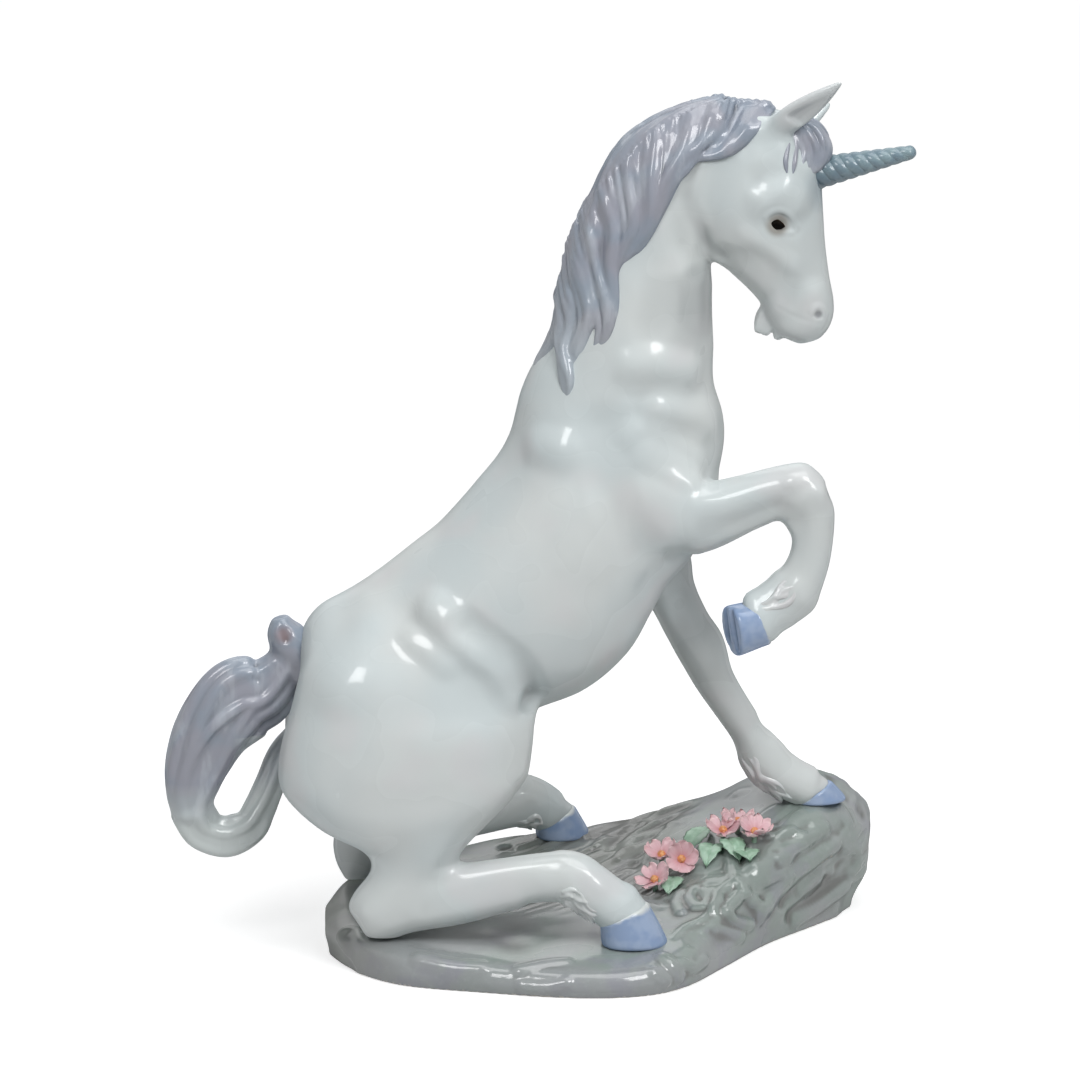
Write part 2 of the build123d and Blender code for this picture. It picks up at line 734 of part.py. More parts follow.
# Tail: its raised root, the broad plume and the strand that loops back to the rump
tail_root_shares = [
    (0.00, 0.0, 0.00, 0.50, 0.50),
    (-0.50, 0.0, 0.40, 0.50, 0.50),
    (-0.85, 0.0, 0.72, 0.44, 0.45),
    (-1.00, 0.0, 1.00, 0.20, 0.22),
]
plume_shares = [
    (0.00, 0.0, 0.00, 0.22, 0.20),
    (0.21, 0.0, 0.13, 0.37, 0.25),
    (0.47, -0.1, 0.18, 0.47, 0.27),
    (0.75, -0.2, 0.33, 0.37, 0.26),
    (0.93, -0.2, 0.53, 0.30, 0.23),
    (1.00, -0.2, 0.69, 0.25, 0.20),
    (0.99, -0.1, 0.83, 0.20, 0.18),
]
strand_shares = [
    (0.99, -0.1, 0.83, 0.19, 0.17),
    (0.88, 0.0, 0.96, 0.16, 0.16),
    (0.61, 0.1, 1.01, 0.16, 0.16),
    (0.37, 0.3, 0.95, 0.15, 0.15),
    (0.27, 0.5, 0.85, 0.14, 0.14),
    (0.155, 0.7, 0.705, 0.13, 0.13),
    (0.02, 0.9, 0.545, 0.12, 0.13),
    (-0.25, 1.0, 0.40, 0.12, 0.13),
]
tail_seat = body_point(0.050, 0.360)
tail_span = Vector(-tail_reach, tail_sway, -tail_drop)
plume_root = body_point(-0.015, 0.368)

with BuildPart() as tail_root:
    root_span = Vector(tail_root_reach, 0, tail_root_rise)
    loft(limb(tail_seat, root_span, tail_root_girth, tail_root_shares))
    for neighbour in (body, near_haunch, far_haunch):
        add(neighbour, mode=Mode.SUBTRACT)
save(tail_root, "tail_root")

with BuildPart() as tail_plume:
    loft(limb(plume_root, tail_span, tail_girth, plume_shares))
    for neighbour in (body, near_haunch, far_haunch, tail_root):
        add(neighbour, mode=Mode.SUBTRACT)
save(tail_plume, "tail_plume")

with BuildPart() as tail_strand:
    loft(limb(plume_root, tail_span, tail_girth, strand_shares))
    for neighbour in (body, near_haunch, far_haunch, tail_plume):
        add(neighbour, mode=Mode.SUBTRACT)
save(tail_strand, "tail_strand")

# Flowers: x and y on the rock as shares, tilt towards the front, turn, and lift
flower_place_shares = [
    (0.651, 0.496, 55, 5, 1.0),
    (0.615, 0.590, 30, -15, 0.8),
    (0.596, 0.465, 45, -40, 1.0),
    (0.732, 0.559, 42, -15, 1.0),
    (0.760, 0.635, 30, 0, 0.7),
    (0.795, 0.512, 42, 20, 0.8),
]
petal_shares = [
    (0.10, 0.16, 0.50),
    (0.40, 0.40, 0.50),
    (0.70, 0.48, 0.45),
    (0.92, 0.34, 0.35),
    (1.00, 0.14, 0.20),
]


def flower_plane(x_share, y_share, tilt, turn, lift):
    """The plane that a flower opens on."""
    x = rock_length * x_share - rock_left
    y = rock_depth * y_share - rock_front
    facing = up.rotate(Axis.X, tilt).rotate(Axis.Z, turn)
    return Plane(origin=(x, y, rock_top(x, y) + flower_lift * lift), z_dir=facing)


def petal_ovals(plane, number):
    """Ovals of one petal, from the middle outwards."""
    heading = plane.x_dir.rotate(Axis(plane.origin, plane.z_dir), 360 * number / petal_count)
    across = plane.z_dir.cross(heading)
    ovals = []
    for along, wide, thick in petal_shares:
        centre = plane.origin + heading * (petal_length * along) + plane.z_dir * (petal_cup * along * along)
        ovals.append(oval(centre, across, heading, petal_width * wide, petal_thickness * thick))
    return ovals


flower_planes = [flower_plane(*place) for place in flower_place_shares]

with BuildPart() as flower_centres:
    for plane in flower_planes:
        with Locations(plane.origin + plane.z_dir * (petal_thickness / 2)):
            Sphere(bead_diameter / 2)
save(flower_centres, "flower_centres")

with BuildPart() as flower_stems:
    for plane in flower_planes:
        with BuildSketch(Plane(origin=plane.origin, z_dir=-up)):
            Circle(stem_diameter / 2)
        extrude(amount=flower_lift + overrun)
    add(flower_centres, mode=Mode.SUBTRACT)
    add(rock, mode=Mode.SUBTRACT)
save(flower_stems, "flower_stems")

flowers = []
for number, plane in enumerate(flower_planes, 1):
    with BuildPart() as flower:
        for petal in range(petal_count):
            loft(petal_ovals(plane, petal))
        for neighbour in (flower_centres, flower_stems, rock, *flowers):
            add(neighbour, mode=Mode.SUBTRACT)
    flowers.append(flower)
    save(flower, f"flower_{number}")

# Leaves: x and y on the rock as shares, heading, rise and length
leaf_place_shares = [
    (0.645, 0.450, -100, 0.12, 0.85),
    (0.672, 0.570, 50, 0.15, 0.90),
    (0.722, 0.520, -105, 0.12, 0.90),
    (0.744, 0.515, -70, 0.12, 0.95),
    (0.775, 0.480, -80, 0.10, 0.85),
]
leaf_shares = [
    (0.00, 0.10, 0.50),
    (0.22, 0.34, 0.50),
    (0.50, 0.50, 0.50),
    (0.78, 0.36, 0.40),
    (1.00, 0.06, 0.20),
]
leaf_lift_share = 0.9


def leaf_ovals(x_share, y_share, heading_angle, rise, length):
    """Ovals of one leaf that lies on the rock and follows its slope."""
    x = rock_length * x_share - rock_left
    y = rock_depth * y_share - rock_front
    heading = Vector(1, 0, 0).rotate(Axis.Z, heading_angle)
    places = [Vector(x, y, 0) + heading * (leaf_length * length * along) for along, _, _ in leaf_shares]
    lifts = [leaf_thickness * leaf_lift_share + leaf_length * rise * sin(pi * row[0]) for row in leaf_shares]
    centres = [Vector(p.X, p.Y, rock_top(p.X, p.Y) + lift) for p, lift in zip(places, lifts)]
    ovals = []
    for i, (_, wide, thick) in enumerate(leaf_shares):
        along = (centres[min(i + 1, len(centres) - 1)] - centres[max(i - 1, 0)]).normalized()
        across = along.cross(up).normalized()
        ovals.append(oval(centres[i], across, along, leaf_width * wide, leaf_thickness * thick))
    return ovals


leaves = []
for number, place in enumerate(leaf_place_shares, 1):
    with BuildPart() as leaf:
        loft(leaf_ovals(*place))
        for neighbour in (rock, flower_stems, flower_centres, *flowers, *leaves):
            add(neighbour, mode=Mode.SUBTRACT)
    leaves.append(leaf)
    save(leaf, f"leaf_{number}")

# Vines: raised stems on the rock's front face, half sunk in it
vine_path_shares = {
    "vine_near": [(0.640, 0.170), (0.665, 0.215), (0.700, 0.245), (0.725, 0.300), (0.728, 0.370)],
    "vine_far": [(0.700, 0.200), (0.735, 0.270), (0.775, 0.370), (0.790, 0.460), (0.780, 0.540)],
}
vine_profile_shares = [0.25, 0.50, 0.50, 0.44, 0.25]
for vine_name, path in vine_path_shares.items():
    spots = [(rock_length * a - rock_left, rock_depth * b - rock_front) for a, b in path]
    centres = [Vector(x, y, rock_top(x, y)) for x, y in spots]
    ovals = []
    for i, half_share in enumerate(vine_profile_shares):
        along = (centres[min(i + 1, len(centres) - 1)] - centres[max(i - 1, 0)]).normalized()
        across = along.cross(up).normalized()
        ovals.append(oval(centres[i], across, along, vine_diameter * half_share, vine_diameter * half_share))
    with BuildPart() as vine:
        loft(ovals)
        for neighbour in (rock, flower_stems, flower_centres, *flowers, *leaves):
            add(neighbour, mode=Mode.SUBTRACT)
    save(vine, vine_name)
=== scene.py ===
import math

import bmesh
import bpy
import numpy as np
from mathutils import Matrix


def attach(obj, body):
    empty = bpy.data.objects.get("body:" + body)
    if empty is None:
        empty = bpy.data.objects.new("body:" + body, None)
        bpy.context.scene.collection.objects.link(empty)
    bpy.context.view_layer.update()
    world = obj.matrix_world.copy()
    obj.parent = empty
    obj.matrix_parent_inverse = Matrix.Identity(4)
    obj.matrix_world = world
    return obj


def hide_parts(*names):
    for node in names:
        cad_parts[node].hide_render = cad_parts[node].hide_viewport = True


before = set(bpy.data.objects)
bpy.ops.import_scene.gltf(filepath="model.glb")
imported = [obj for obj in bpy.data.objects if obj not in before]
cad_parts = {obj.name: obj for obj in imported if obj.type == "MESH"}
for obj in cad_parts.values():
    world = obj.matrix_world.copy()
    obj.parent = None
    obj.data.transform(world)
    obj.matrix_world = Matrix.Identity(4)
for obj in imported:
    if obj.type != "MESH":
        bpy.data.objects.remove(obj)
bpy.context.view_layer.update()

import openvdb as vdb
from bpy.props import FloatProperty, FloatVectorProperty, IntProperty, PointerProperty
from mathutils import Matrix, Vector

bl_info = {
    "name": "Porcelain unicorn",
    "version": (1, 0, 0),
    "blender": (4, 5, 0),
    "location": "View3D > Sidebar > Unicorn",
    "description": "Models and glazes a porcelain unicorn that sits on a rock",
    "category": "Object",
}

MILLIMETRE = 0.001
NOISE_CELLS = 24
NOISE_OFFSET = 7.3
GOLDEN_ANGLE = 2.39996

# The stage, in metres
WORLD_COLOUR = (0.11, 0.115, 0.12, 1.0)
FLOOR_GLOW = (0.64, 0.64, 0.64)
CAMERA_DISTANCE = 3.0
FRAME_WIDTH = 0.3132
STAGE_CENTRE = (-0.0145, 0.0, 0.1237)
# Lamps: name, place, width, power
LAMPS = (
    ("softbox_left", (-0.62, -1.0, 1.10), 0.42, 5.8),
    ("softbox_right", (0.58, -0.95, 1.10), 0.50, 10.6),
    ("softbox_top", (0.1, -0.15, 1.35), 0.8, 7.2),
    ("softbox_back", (-0.25, 1.15, 0.95), 0.9, 2.6),
)

# From here on lengths are in millimetres, and shares are of the length that they multiply
SENSOR_WIDTH = 36.0
FLOOR_REACH = 3000.0
ROCK_SIZE = np.array([159.0, 127.0, 36.0])
ROCK_CORNER = np.array([-78.0, -51.0, 0.0])
BODY_SIZE = np.array([116.0, 60.0, 151.5])
BODY_CORNER = np.array([-87.0, 0.0, 29.98])
NECK_SIZE = np.array([62.0, 38.0, 78.0])
NECK_ROOT = np.array([-15.95, 0.0, 176.026])
POLL = NECK_ROOT + NECK_SIZE * [0.875, 0.0, 0.992]
HEAD_DEPTH = 40.0
HEAD_LENGTH = 70.0
HEAD_BREADTH = 26.0
HEAD_TURN = math.radians(9.0)
FORWARD = np.array([math.cos(HEAD_TURN), -math.sin(HEAD_TURN), 0.0])
SIDEWAYS = np.array([math.sin(HEAD_TURN), math.cos(HEAD_TURN), 0.0])
UP = np.array([0.0, 0.0, 1.0])
FAR = np.array([0.0, 1.0, 0.0])
VIEW_TILT = math.radians(15.0)
VIEW = np.array([0.0, math.cos(VIEW_TILT), -math.sin(VIEW_TILT)])

# Boxes round the blocks of clay: the low and the high corner
BODY_BOX = (-96, -44, 4), (72, 52, 208)
HEAD_BOX = (-12, -24, 180), (78, 24, 268)
MANE_BOX = (-34, -24, 150), (56, 24, 268)
MANE_BED_BOX = (-34, -24, 150), (56, 24, 266)
FORELOCK_BOX = (36, -24, 216), (78, 16, 268)
FORELOCK_BED_BOX = (36, -26, 216), (78, 20, 268)
TAIL_BOX = (-126, -18, 20), (-72, 26, 108)
# Marks on the near side as a viewer sees them, in x and height
EYE_PLACE = 53.4, 217.3
NOSTRIL_PLACE = 65.3, 190.9
PIT_PLACE = -89.0, 96.0
EYE_HALF_LENGTH = 2.45
EYE_HALF_HEIGHT = 1.5
HORN_RISE = math.radians(14.5)
PETAL_LENGTH = 5.5
PETAL_THICKNESS = 0.62
STEM_HEIGHT = 3.4
STEM_RADIUS = 0.8
BEAD_RADIUS = 0.42
LEAF_LENGTH = 11.5
LEAF_HALF_WIDTH = 3.8
LEAF_THICKNESS = 0.7


def paint(red, green, blue):
    """A linear colour from a paint chart's three numbers."""
    shares = (c / 255 for c in (red, green, blue))
    return tuple(s / 12.92 if s < 0.04 else ((s + 0.055) / 1.055) ** 2.4 for s in shares)


def normal(vectors):
    """Vectors made one unit long."""
    return vectors / np.maximum(np.linalg.norm(vectors, axis=-1, keepdims=True), 1e-9)


def ramp(value, start, end):
    """A share that runs from 0 at start to 1 at end."""
    return np.clip((value - start) / (end - start), 0, 1)


def flow(rows, times):
    """More rows between the given ones, on a smooth curve through them."""
    rows = np.array(rows, float)
    slopes = np.gradient(rows, axis=0)
    place = np.linspace(0, len(rows) - 1, (len(rows) - 1) * times + 1)
    i = np.minimum(place.astype(int), len(rows) - 2)
    f = (place - i)[:, None]
    start = rows[i] * (2 * f**3 - 3 * f**2 + 1) + slopes[i] * (f**3 - 2 * f**2 + f)
    return start + rows[i + 1] * (3 * f**2 - 2 * f**3) + slopes[i + 1] * (f**3 - f**2)


def closed(rings, ends):
    """A closed surface through rings and two end points: points, four-sided faces and end triangles."""
    count, sides = rings.shape[:2]
    i, j = np.meshgrid(np.arange(count - 1), np.arange(sides), indexing="ij")
    a, b = i * sides + j, i * sides + (j + 1) % sides
    quads = np.stack([a, b, b + sides, a + sides], -1).reshape(-1, 4)
    k = np.arange(sides)
    n = count * sides
    first = np.stack([(k + 1) % sides, k, np.full(sides, n)], -1)
    last = np.stack([k + n - sides, (k + 1) % sides + n - sides, np.full(sides, n + 1)], -1)
    return np.concatenate([rings.reshape(-1, 3), ends]), quads, np.concatenate([first, last])


class Roll:
    """A roll of clay: ovals along a path, with their two half widths."""

    def __init__(self, centres, deep, broad, half_deep, half_broad):
        self.centres, self.deep, self.broad = centres, deep, broad
        self.half_deep, self.half_broad = half_deep, half_broad

    def points(self, angles, share=1.0):
        """Points on every oval at the given angles: one row for each oval."""
        a = np.cos(angles)[..., None] * self.deep[:, None] * self.half_deep[:, None, None]
        b = np.sin(angles)[..., None] * self.broad[:, None] * self.half_broad[:, None, None]
        return self.centres[:, None] + (a + b) * share

    def resized(self, half_deep, half_broad):
        """The same roll with other half widths."""
        return Roll(self.centres, self.deep, self.broad, half_deep, half_broad)

    def surface(self, sides=64):
        """The roll's closed surface, with as many sides as asked."""
        rings = self.points(np.tile(np.arange(sides) * 2 * np.pi / sides, (len(self.centres), 1)))
        return closed(rings, self.centres[[0, -1]])


def chord_roll(backs, fronts, halves, broad=FAR):
    """A roll from the back and front points of its ovals."""
    reach = fronts - backs
    broad = np.tile(broad, (len(backs), 1))
    return Roll((backs + fronts) / 2, normal(reach), broad, np.linalg.norm(reach, axis=1) / 2, halves)


def pick(table, places):
    """The rows of a table at some places between them."""
    order = np.arange(len(table))
    return np.stack([np.interp(places, order, column) for column in np.transpose(table)], -1)


def path_roll(centres, half_deep, half_broad=None):
    """A roll square to its path, deep in the side view and broad across it, or round."""
    half_broad = half_deep if half_broad is None else half_broad
    along = normal(np.gradient(centres, axis=0))
    deep = normal(np.cross(along, FAR))
    return Roll(centres, deep, normal(np.cross(along, deep)), half_deep, half_broad)


def limb(start, span, girth, rows):
    """A limb from shares of its span, and its half depth and half breadth as shares of its girth."""
    rows = flow(rows, 10)
    return path_roll(start + np.array(span) * rows[:, :3], girth * rows[:, 3], girth * rows[:, 4])


def strands(roll, count, seed):
    """Strands of hair that run along a roll, side by side round it."""
    random = np.random.default_rng(seed)
    rolls = []
    along = np.linspace(0, 1, len(roll.centres))
    size = (roll.half_deep + roll.half_broad) / 2
    for i in range(count):
        waves = random.uniform(-1, 1, 3)
        swing = 0.35 * (waves[0] * np.sin(3 * along + 6 * waves[1]) + waves[2] * np.sin(7 * along))
        angle = math.tau * (i + random.uniform(-0.2, 0.2)) / count + swing
        centres = roll.points(angle[:, None], 0.86 * random.uniform(0.9, 1.08))[:, 0]
        width = 2.6 / count * random.uniform(0.85, 1.2) * size
        rolls.append(path_roll(centres, width))
    return rolls


def between(block, cell, share, wrap=None):
    """A block's value at a share of the way from each cell to the next ones."""
    total = 0
    for step in np.ndindex(2, 2, 2):
        weight = np.prod([np.abs(1 - step[k] - share[:, k]) for k in range(3)], 0)
        corner = cell + step
        x, y, z = (corner if wrap is None else corner % wrap).T
        total = total + weight * block[x, y, z]
    return total


class Clay:
    """Clay on a grid of distances to its surface. Rolls melt into it, strokes raise or press it."""

    def __init__(self, low, high, step, reach):
        self.step, self.reach = step, reach
        self.corner = np.floor(np.array(low) / step).astype(int)
        self.counts = np.ceil(np.array(high) / step).astype(int) - self.corner + 1
        self.field = np.full(self.counts, reach, np.float32)

    def window(self, low, high):
        """The slices of the grid round a box, or None outside it."""
        first = np.clip(np.floor(np.array(low) / self.step).astype(int) - self.corner, 0, self.counts)
        last = np.clip(np.ceil(np.array(high) / self.step).astype(int) + 1 - self.corner, 0, self.counts)
        return None if (last - first).min() < 1 else tuple(slice(a, b) for a, b in zip(first, last))

    def axes(self, window):
        """The grid's x, y and z in a window."""
        lines = [(np.arange(w.start, w.stop) + c) * self.step for w, c in zip(window, self.corner)]
        return np.meshgrid(*lines, indexing="ij", sparse=True)

    def distances(self, surface):
        """The window of a closed surface and the distances to it there."""
        points, quads, triangles = surface
        grid = vdb.FloatGrid.createLevelSetFromPolygons(
            (points / self.step).astype(np.float32),
            triangles=triangles.astype(np.uint32),
            quads=quads.astype(np.uint32),
            halfWidth=self.reach / self.step,
        )
        low, high = grid.evalActiveVoxelBoundingBox()
        window = self.window(np.array(low) * self.step, np.array(high) * self.step)
        if window is None:
            return None, None
        near = np.empty([w.stop - w.start for w in window], np.float32)
        start = tuple(int(w.start + c) for w, c in zip(window, self.corner))
        grid.copyToArray(near, ijk=start)
        return window, near * self.step

    def add(self, roll, melt=0.0, sides=64, sign=1):
        """Adds a roll with a fillet as wide as melt, or with sign -1 takes it away with such an edge."""
        window, near = self.distances(roll.surface(sides))
        if window is not None:
            here = self.field[window] * sign
            blend = np.maximum(melt - np.abs(here - near), 0) ** 2 / (4 * max(melt, 1e-6))
            self.field[window] = (np.minimum(here, near) - blend) * sign

    def stroke(self, path, width, lift, times=8):
        """Raises the surface along a path, or presses it where lift is negative."""
        path = np.atleast_2d(np.array(path, float))
        path = flow(path, times) if len(path) > 1 else path
        along = np.linspace(0, 1, len(path))
        widths, lifts = (
            np.interp(along, np.linspace(0, 1, np.size(v)), np.atleast_1d(v)) for v in (width, lift)
        )
        window = self.window(path.min(0) - widths.max(), path.max(0) + widths.max())
        if window is None:
            return
        x, y, z = self.axes(window)
        push = np.zeros(np.broadcast_shapes(x.shape, y.shape, z.shape), np.float32)
        for point, wide, high in zip(path, widths, lifts):
            far = ((x - point[0]) ** 2 + (y - point[1]) ** 2 + (z - point[2]) ** 2) / wide**2
            bump = np.maximum(1 - far, 0) ** 2
            push = np.maximum(push, bump * abs(high))
        self.field[window] -= push * np.sign(lifts[np.argmax(np.abs(lifts))])

    def soften(self, times):
        """Rounds the whole surface a little, as a glaze does."""
        for _ in range(times):
            for axis in range(3):
                f = np.moveaxis(self.field, axis, 0)
                f[1:-1] = f[1:-1] / 2 + (f[:-2] + f[2:]) / 4

    def at(self, points):
        """The distance to the surface at some points."""
        place = np.clip(points / self.step - self.corner, 0, self.counts - 1.001)
        i = place.astype(int)
        return between(self.field, i, (place - i).astype(np.float32))

    def slope(self, points):
        """The direction away from the surface at some points."""
        e = np.eye(3) * self.step
        return np.stack([self.at(points + e[a]) - self.at(points - e[a]) for a in range(3)], -1)

    def land(self, start, way, reach=120.0):
        """Where a line from start first meets the surface, or None."""
        way = normal(np.array(way, float))
        line = np.array(start, float) + way * np.arange(0, reach, self.step / 2)[:, None]
        under = np.nonzero(self.at(line) < 0)[0]
        return None if len(under) == 0 or under[0] == 0 else line[under[0]]

    def seen(self, x, height):
        """The point of the surface that a viewer sees at x and at a height on the picture plane."""
        start = np.array([x, 0.0, height]) - VIEW * 90
        return self.land(start, VIEW, 200)

    def skin(self):
        """The surface as points, four-sided faces, directions and hollows."""
        grid = vdb.FloatGrid(self.reach)
        grid.copyFromArray(self.field, ijk=tuple(int(c) for c in self.corner))
        points, quads = grid.convertToQuads(isovalue=0.0)
        points = points.astype(float) * self.step
        for _ in range(3):
            slope = self.slope(points)
            size = np.maximum((slope**2).sum(1), 1e-3)
            move = self.at(points) * 2 * self.step / size
            points -= slope * np.clip(move, -0.2, 0.2)[:, None]
        outward = normal(self.slope(points))
        a, b, c = (points[quads[:, k]] for k in range(3))
        facing = (np.cross(b - a, c - a) * outward[quads[:, 0]]).sum()
        return points, quads if facing > 0 else quads[:, ::-1], outward

    def grooves(self, points, reach, strength, more=0.0):
        """A mark from 0 to 1 for grooves: how far clay stands round some points, and what is added."""
        random = np.random.default_rng(5)
        rays = normal(random.normal(size=(14, 3)))
        rays = np.concatenate([rays, -rays]) * reach
        hollow = -sum(self.at(points + ray) for ray in rays) / len(rays) / reach
        return np.clip(hollow * strength + more, 0, 1)


def noise(points, size, seed):
    """Soft noise between -1 and 1 over points, in lumps of a size given for x, y and z."""
    block = np.random.default_rng(seed).random((NOISE_CELLS,) * 3).astype(np.float32)
    place = points / np.array(size) + NOISE_OFFSET
    i = np.floor(place).astype(int)
    f = place - i
    return between(block, i, f * f * (3 - 2 * f), NOISE_CELLS) * 2 - 1


def make_object(name, points, *faces, outward=None, **attributes):
    """A new object in the scene from points in millimetres and arrays of equal-sided faces."""
    mesh = bpy.data.meshes.new(name)
    mesh.vertices.add(len(points))
    mesh.vertices.foreach_set("co", (np.asarray(points) * MILLIMETRE).astype(np.float32).ravel())
    corners = np.concatenate([np.asarray(f).ravel() for f in faces]).astype(np.int32)
    sizes = np.concatenate([np.full(len(f), np.shape(f)[1]) for f in faces]).astype(np.int32)
    mesh.loops.add(len(corners))
    mesh.loops.foreach_set("vertex_index", corners)
    mesh.polygons.add(len(sizes))
    mesh.polygons.foreach_set("loop_start", (np.cumsum(sizes) - sizes).astype(np.int32))
    mesh.polygons.foreach_set("use_smooth", np.ones(len(sizes), bool))
    mesh.update(calc_edges=True)
    mesh.validate()
    for label, values in attributes.items():
        layer = mesh.attributes.new(label, "FLOAT", "POINT")
        layer.data.foreach_set("value", np.asarray(values, np.float32))
    if outward is not None:
        mesh.normals_split_custom_set_from_vertices(np.asarray(outward).tolist())
    thing = bpy.data.objects.new(name, mesh)
    bpy.context.scene.collection.objects.link(thing)
    return thing


def trim(clay, points, quads, outward, height):
    """Cuts a skin off at a plane, where height is the signed distance above it, and caps it there."""
    above = height(points)
    quads = quads[(above[quads] > 0).any(1)]
    edge = np.unique(quads[above[quads] <= 0])
    e = np.eye(3) * 0.1
    way = normal(np.stack([height(points[edge] + e[a]) - above[edge] for a in range(3)], -1))
    rim = points[edge] - way * above[edge][:, None]
    for _ in range(4):
        slope = clay.slope(rim)
        slope -= way * (slope * way).sum(1)[:, None]
        move = clay.at(rim) * 2 * clay.step / np.maximum((slope**2).sum(1), 1e-3)
        rim -= slope * np.clip(move, -0.3, 0.3)[:, None]
    points = points.copy()
    points[edge] = rim
    outward[edge] = normal(clay.slope(rim))
    sides = np.concatenate([quads[:, [k, (k + 1) % 4]] for k in range(4)])
    ordered = np.sort(sides, 1)
    _, first, count = np.unique(ordered, axis=0, return_index=True, return_counts=True)
    open_sides = sides[first[count == 1]]
    middle = points[np.unique(open_sides)].mean(0)
    cap = np.column_stack([open_sides[:, 1], open_sides[:, 0], np.full(len(open_sides), len(points))])
    points = np.concatenate([points, [middle]])
    outward = np.concatenate([outward, way[:1]])
    used, flat = np.unique(np.concatenate([quads.ravel(), cap.ravel()]), return_inverse=True)
    return points[used], flat[: quads.size].reshape(-1, 4), flat[quads.size :].reshape(-1, 3), outward[used]


def finish_piece(thing, material, slot, *nodes):
    """Glazes a finished piece and ties it to the frame."""
    thing.data.materials.clear()
    thing.data.materials.append(material)
    if nodes:
        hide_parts(*nodes)
    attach(thing, "root")


def written(operation, reflected=False):
    """A method of Wire for one operator, or for its reflected form."""

    def method(self, other):
        first, second = (other, self) if reflected else (self, other)
        return self.mix.sum(operation, first, second)

    return method


class Wire:
    """A value in a tree of nodes, on which sums are written as Python expressions."""

    def __init__(self, mix, socket):
        self.mix, self.socket = mix, socket

    __add__, __radd__ = written("ADD"), written("ADD", True)
    __sub__, __rsub__ = written("SUBTRACT"), written("SUBTRACT", True)
    __mul__, __rmul__ = written("MULTIPLY"), written("MULTIPLY", True)
    __truediv__, __rtruediv__ = written("DIVIDE"), written("DIVIDE", True)
    __pow__, __rpow__ = written("POWER"), written("POWER", True)


class Recipe:
    """A tree of nodes that is built by expressions."""

    def __init__(self, tree):
        self.tree = tree

    def node(self, kind, settings, inputs, output=0):
        """Adds one node: first its settings, then the values or links of its sockets."""
        new = self.tree.nodes.new(kind)
        for label, value in settings.items():
            setattr(new, label, value)
        for label, value in inputs.items():
            if isinstance(value, Wire):
                self.tree.links.new(value.socket, new.inputs[label])
            else:
                new.inputs[label].default_value = value
        return Wire(self, new.outputs[output])

    def sum(self, operation, a, b=0.0):
        """One step of maths."""
        return self.node("ShaderNodeMath", {"operation": operation}, {0: a, 1: b})

    def direct_ray(self):
        """One for what the camera sees, also through glass or in a gloss, and zero for other light."""
        rays = self.tree.nodes.new("ShaderNodeLightPath")
        camera, glossy, through = (
            Wire(self, rays.outputs[f"Is {kind} Ray"]) for kind in ("Camera", "Glossy", "Transmission")
        )
        return self.sum("MAXIMUM", self.sum("MAXIMUM", camera, glossy), through)


class Growth(Recipe):
    """A geometry tree with named inputs, which ends in real geometry and a material."""

    def __init__(self, name, **inputs):
        super().__init__(bpy.data.node_groups.new(name, "GeometryNodeTree"))
        kinds = {int: "NodeSocketInt", float: "NodeSocketFloat"}
        self.tree.interface.new_socket("Geometry", in_out="INPUT", socket_type="NodeSocketGeometry")
        self.tree.interface.new_socket("Geometry", in_out="OUTPUT", socket_type="NodeSocketGeometry")
        self.values = inputs
        for label, value in inputs.items():
            self.tree.interface.new_socket(label, in_out="INPUT", socket_type=kinds[type(value)])
        self.entry = self.tree.nodes.new("NodeGroupInput")
        self.seed = Wire(self, self.entry.outputs[0])

    def given(self, label):
        """One of the named inputs."""
        return Wire(self, self.entry.outputs[label])

    def point(self, x, y, z):
        """A vector from three values."""
        return self.node("ShaderNodeCombineXYZ", {}, {0: x, 1: y, 2: z})

    def grow(self, name, mesh, result, material):
        """Ends the tree, runs it on a mesh and gives the plain object."""
        real = self.node("GeometryNodeRealizeInstances", {}, {0: result})
        done = self.node("GeometryNodeSetMaterial", {}, {"Geometry": real, "Material": material})
        self.tree.links.new(done.socket, self.tree.nodes.new("NodeGroupOutput").inputs[0])
        thing = bpy.data.objects.new(name, mesh)
        bpy.context.scene.collection.objects.link(thing)
        modifier = thing.modifiers.new("Growth", "NODES")
        modifier.node_group = self.tree
        for item in self.tree.interface.items_tree:
            if item.in_out == "INPUT" and item.name in self.values:
                modifier[item.identifier] = self.values[item.name]
        ready = thing.evaluated_get(bpy.context.evaluated_depsgraph_get())
        thing.data = bpy.data.meshes.new_from_object(ready)
        thing.modifiers.remove(thing.modifiers["Growth"])
        return thing


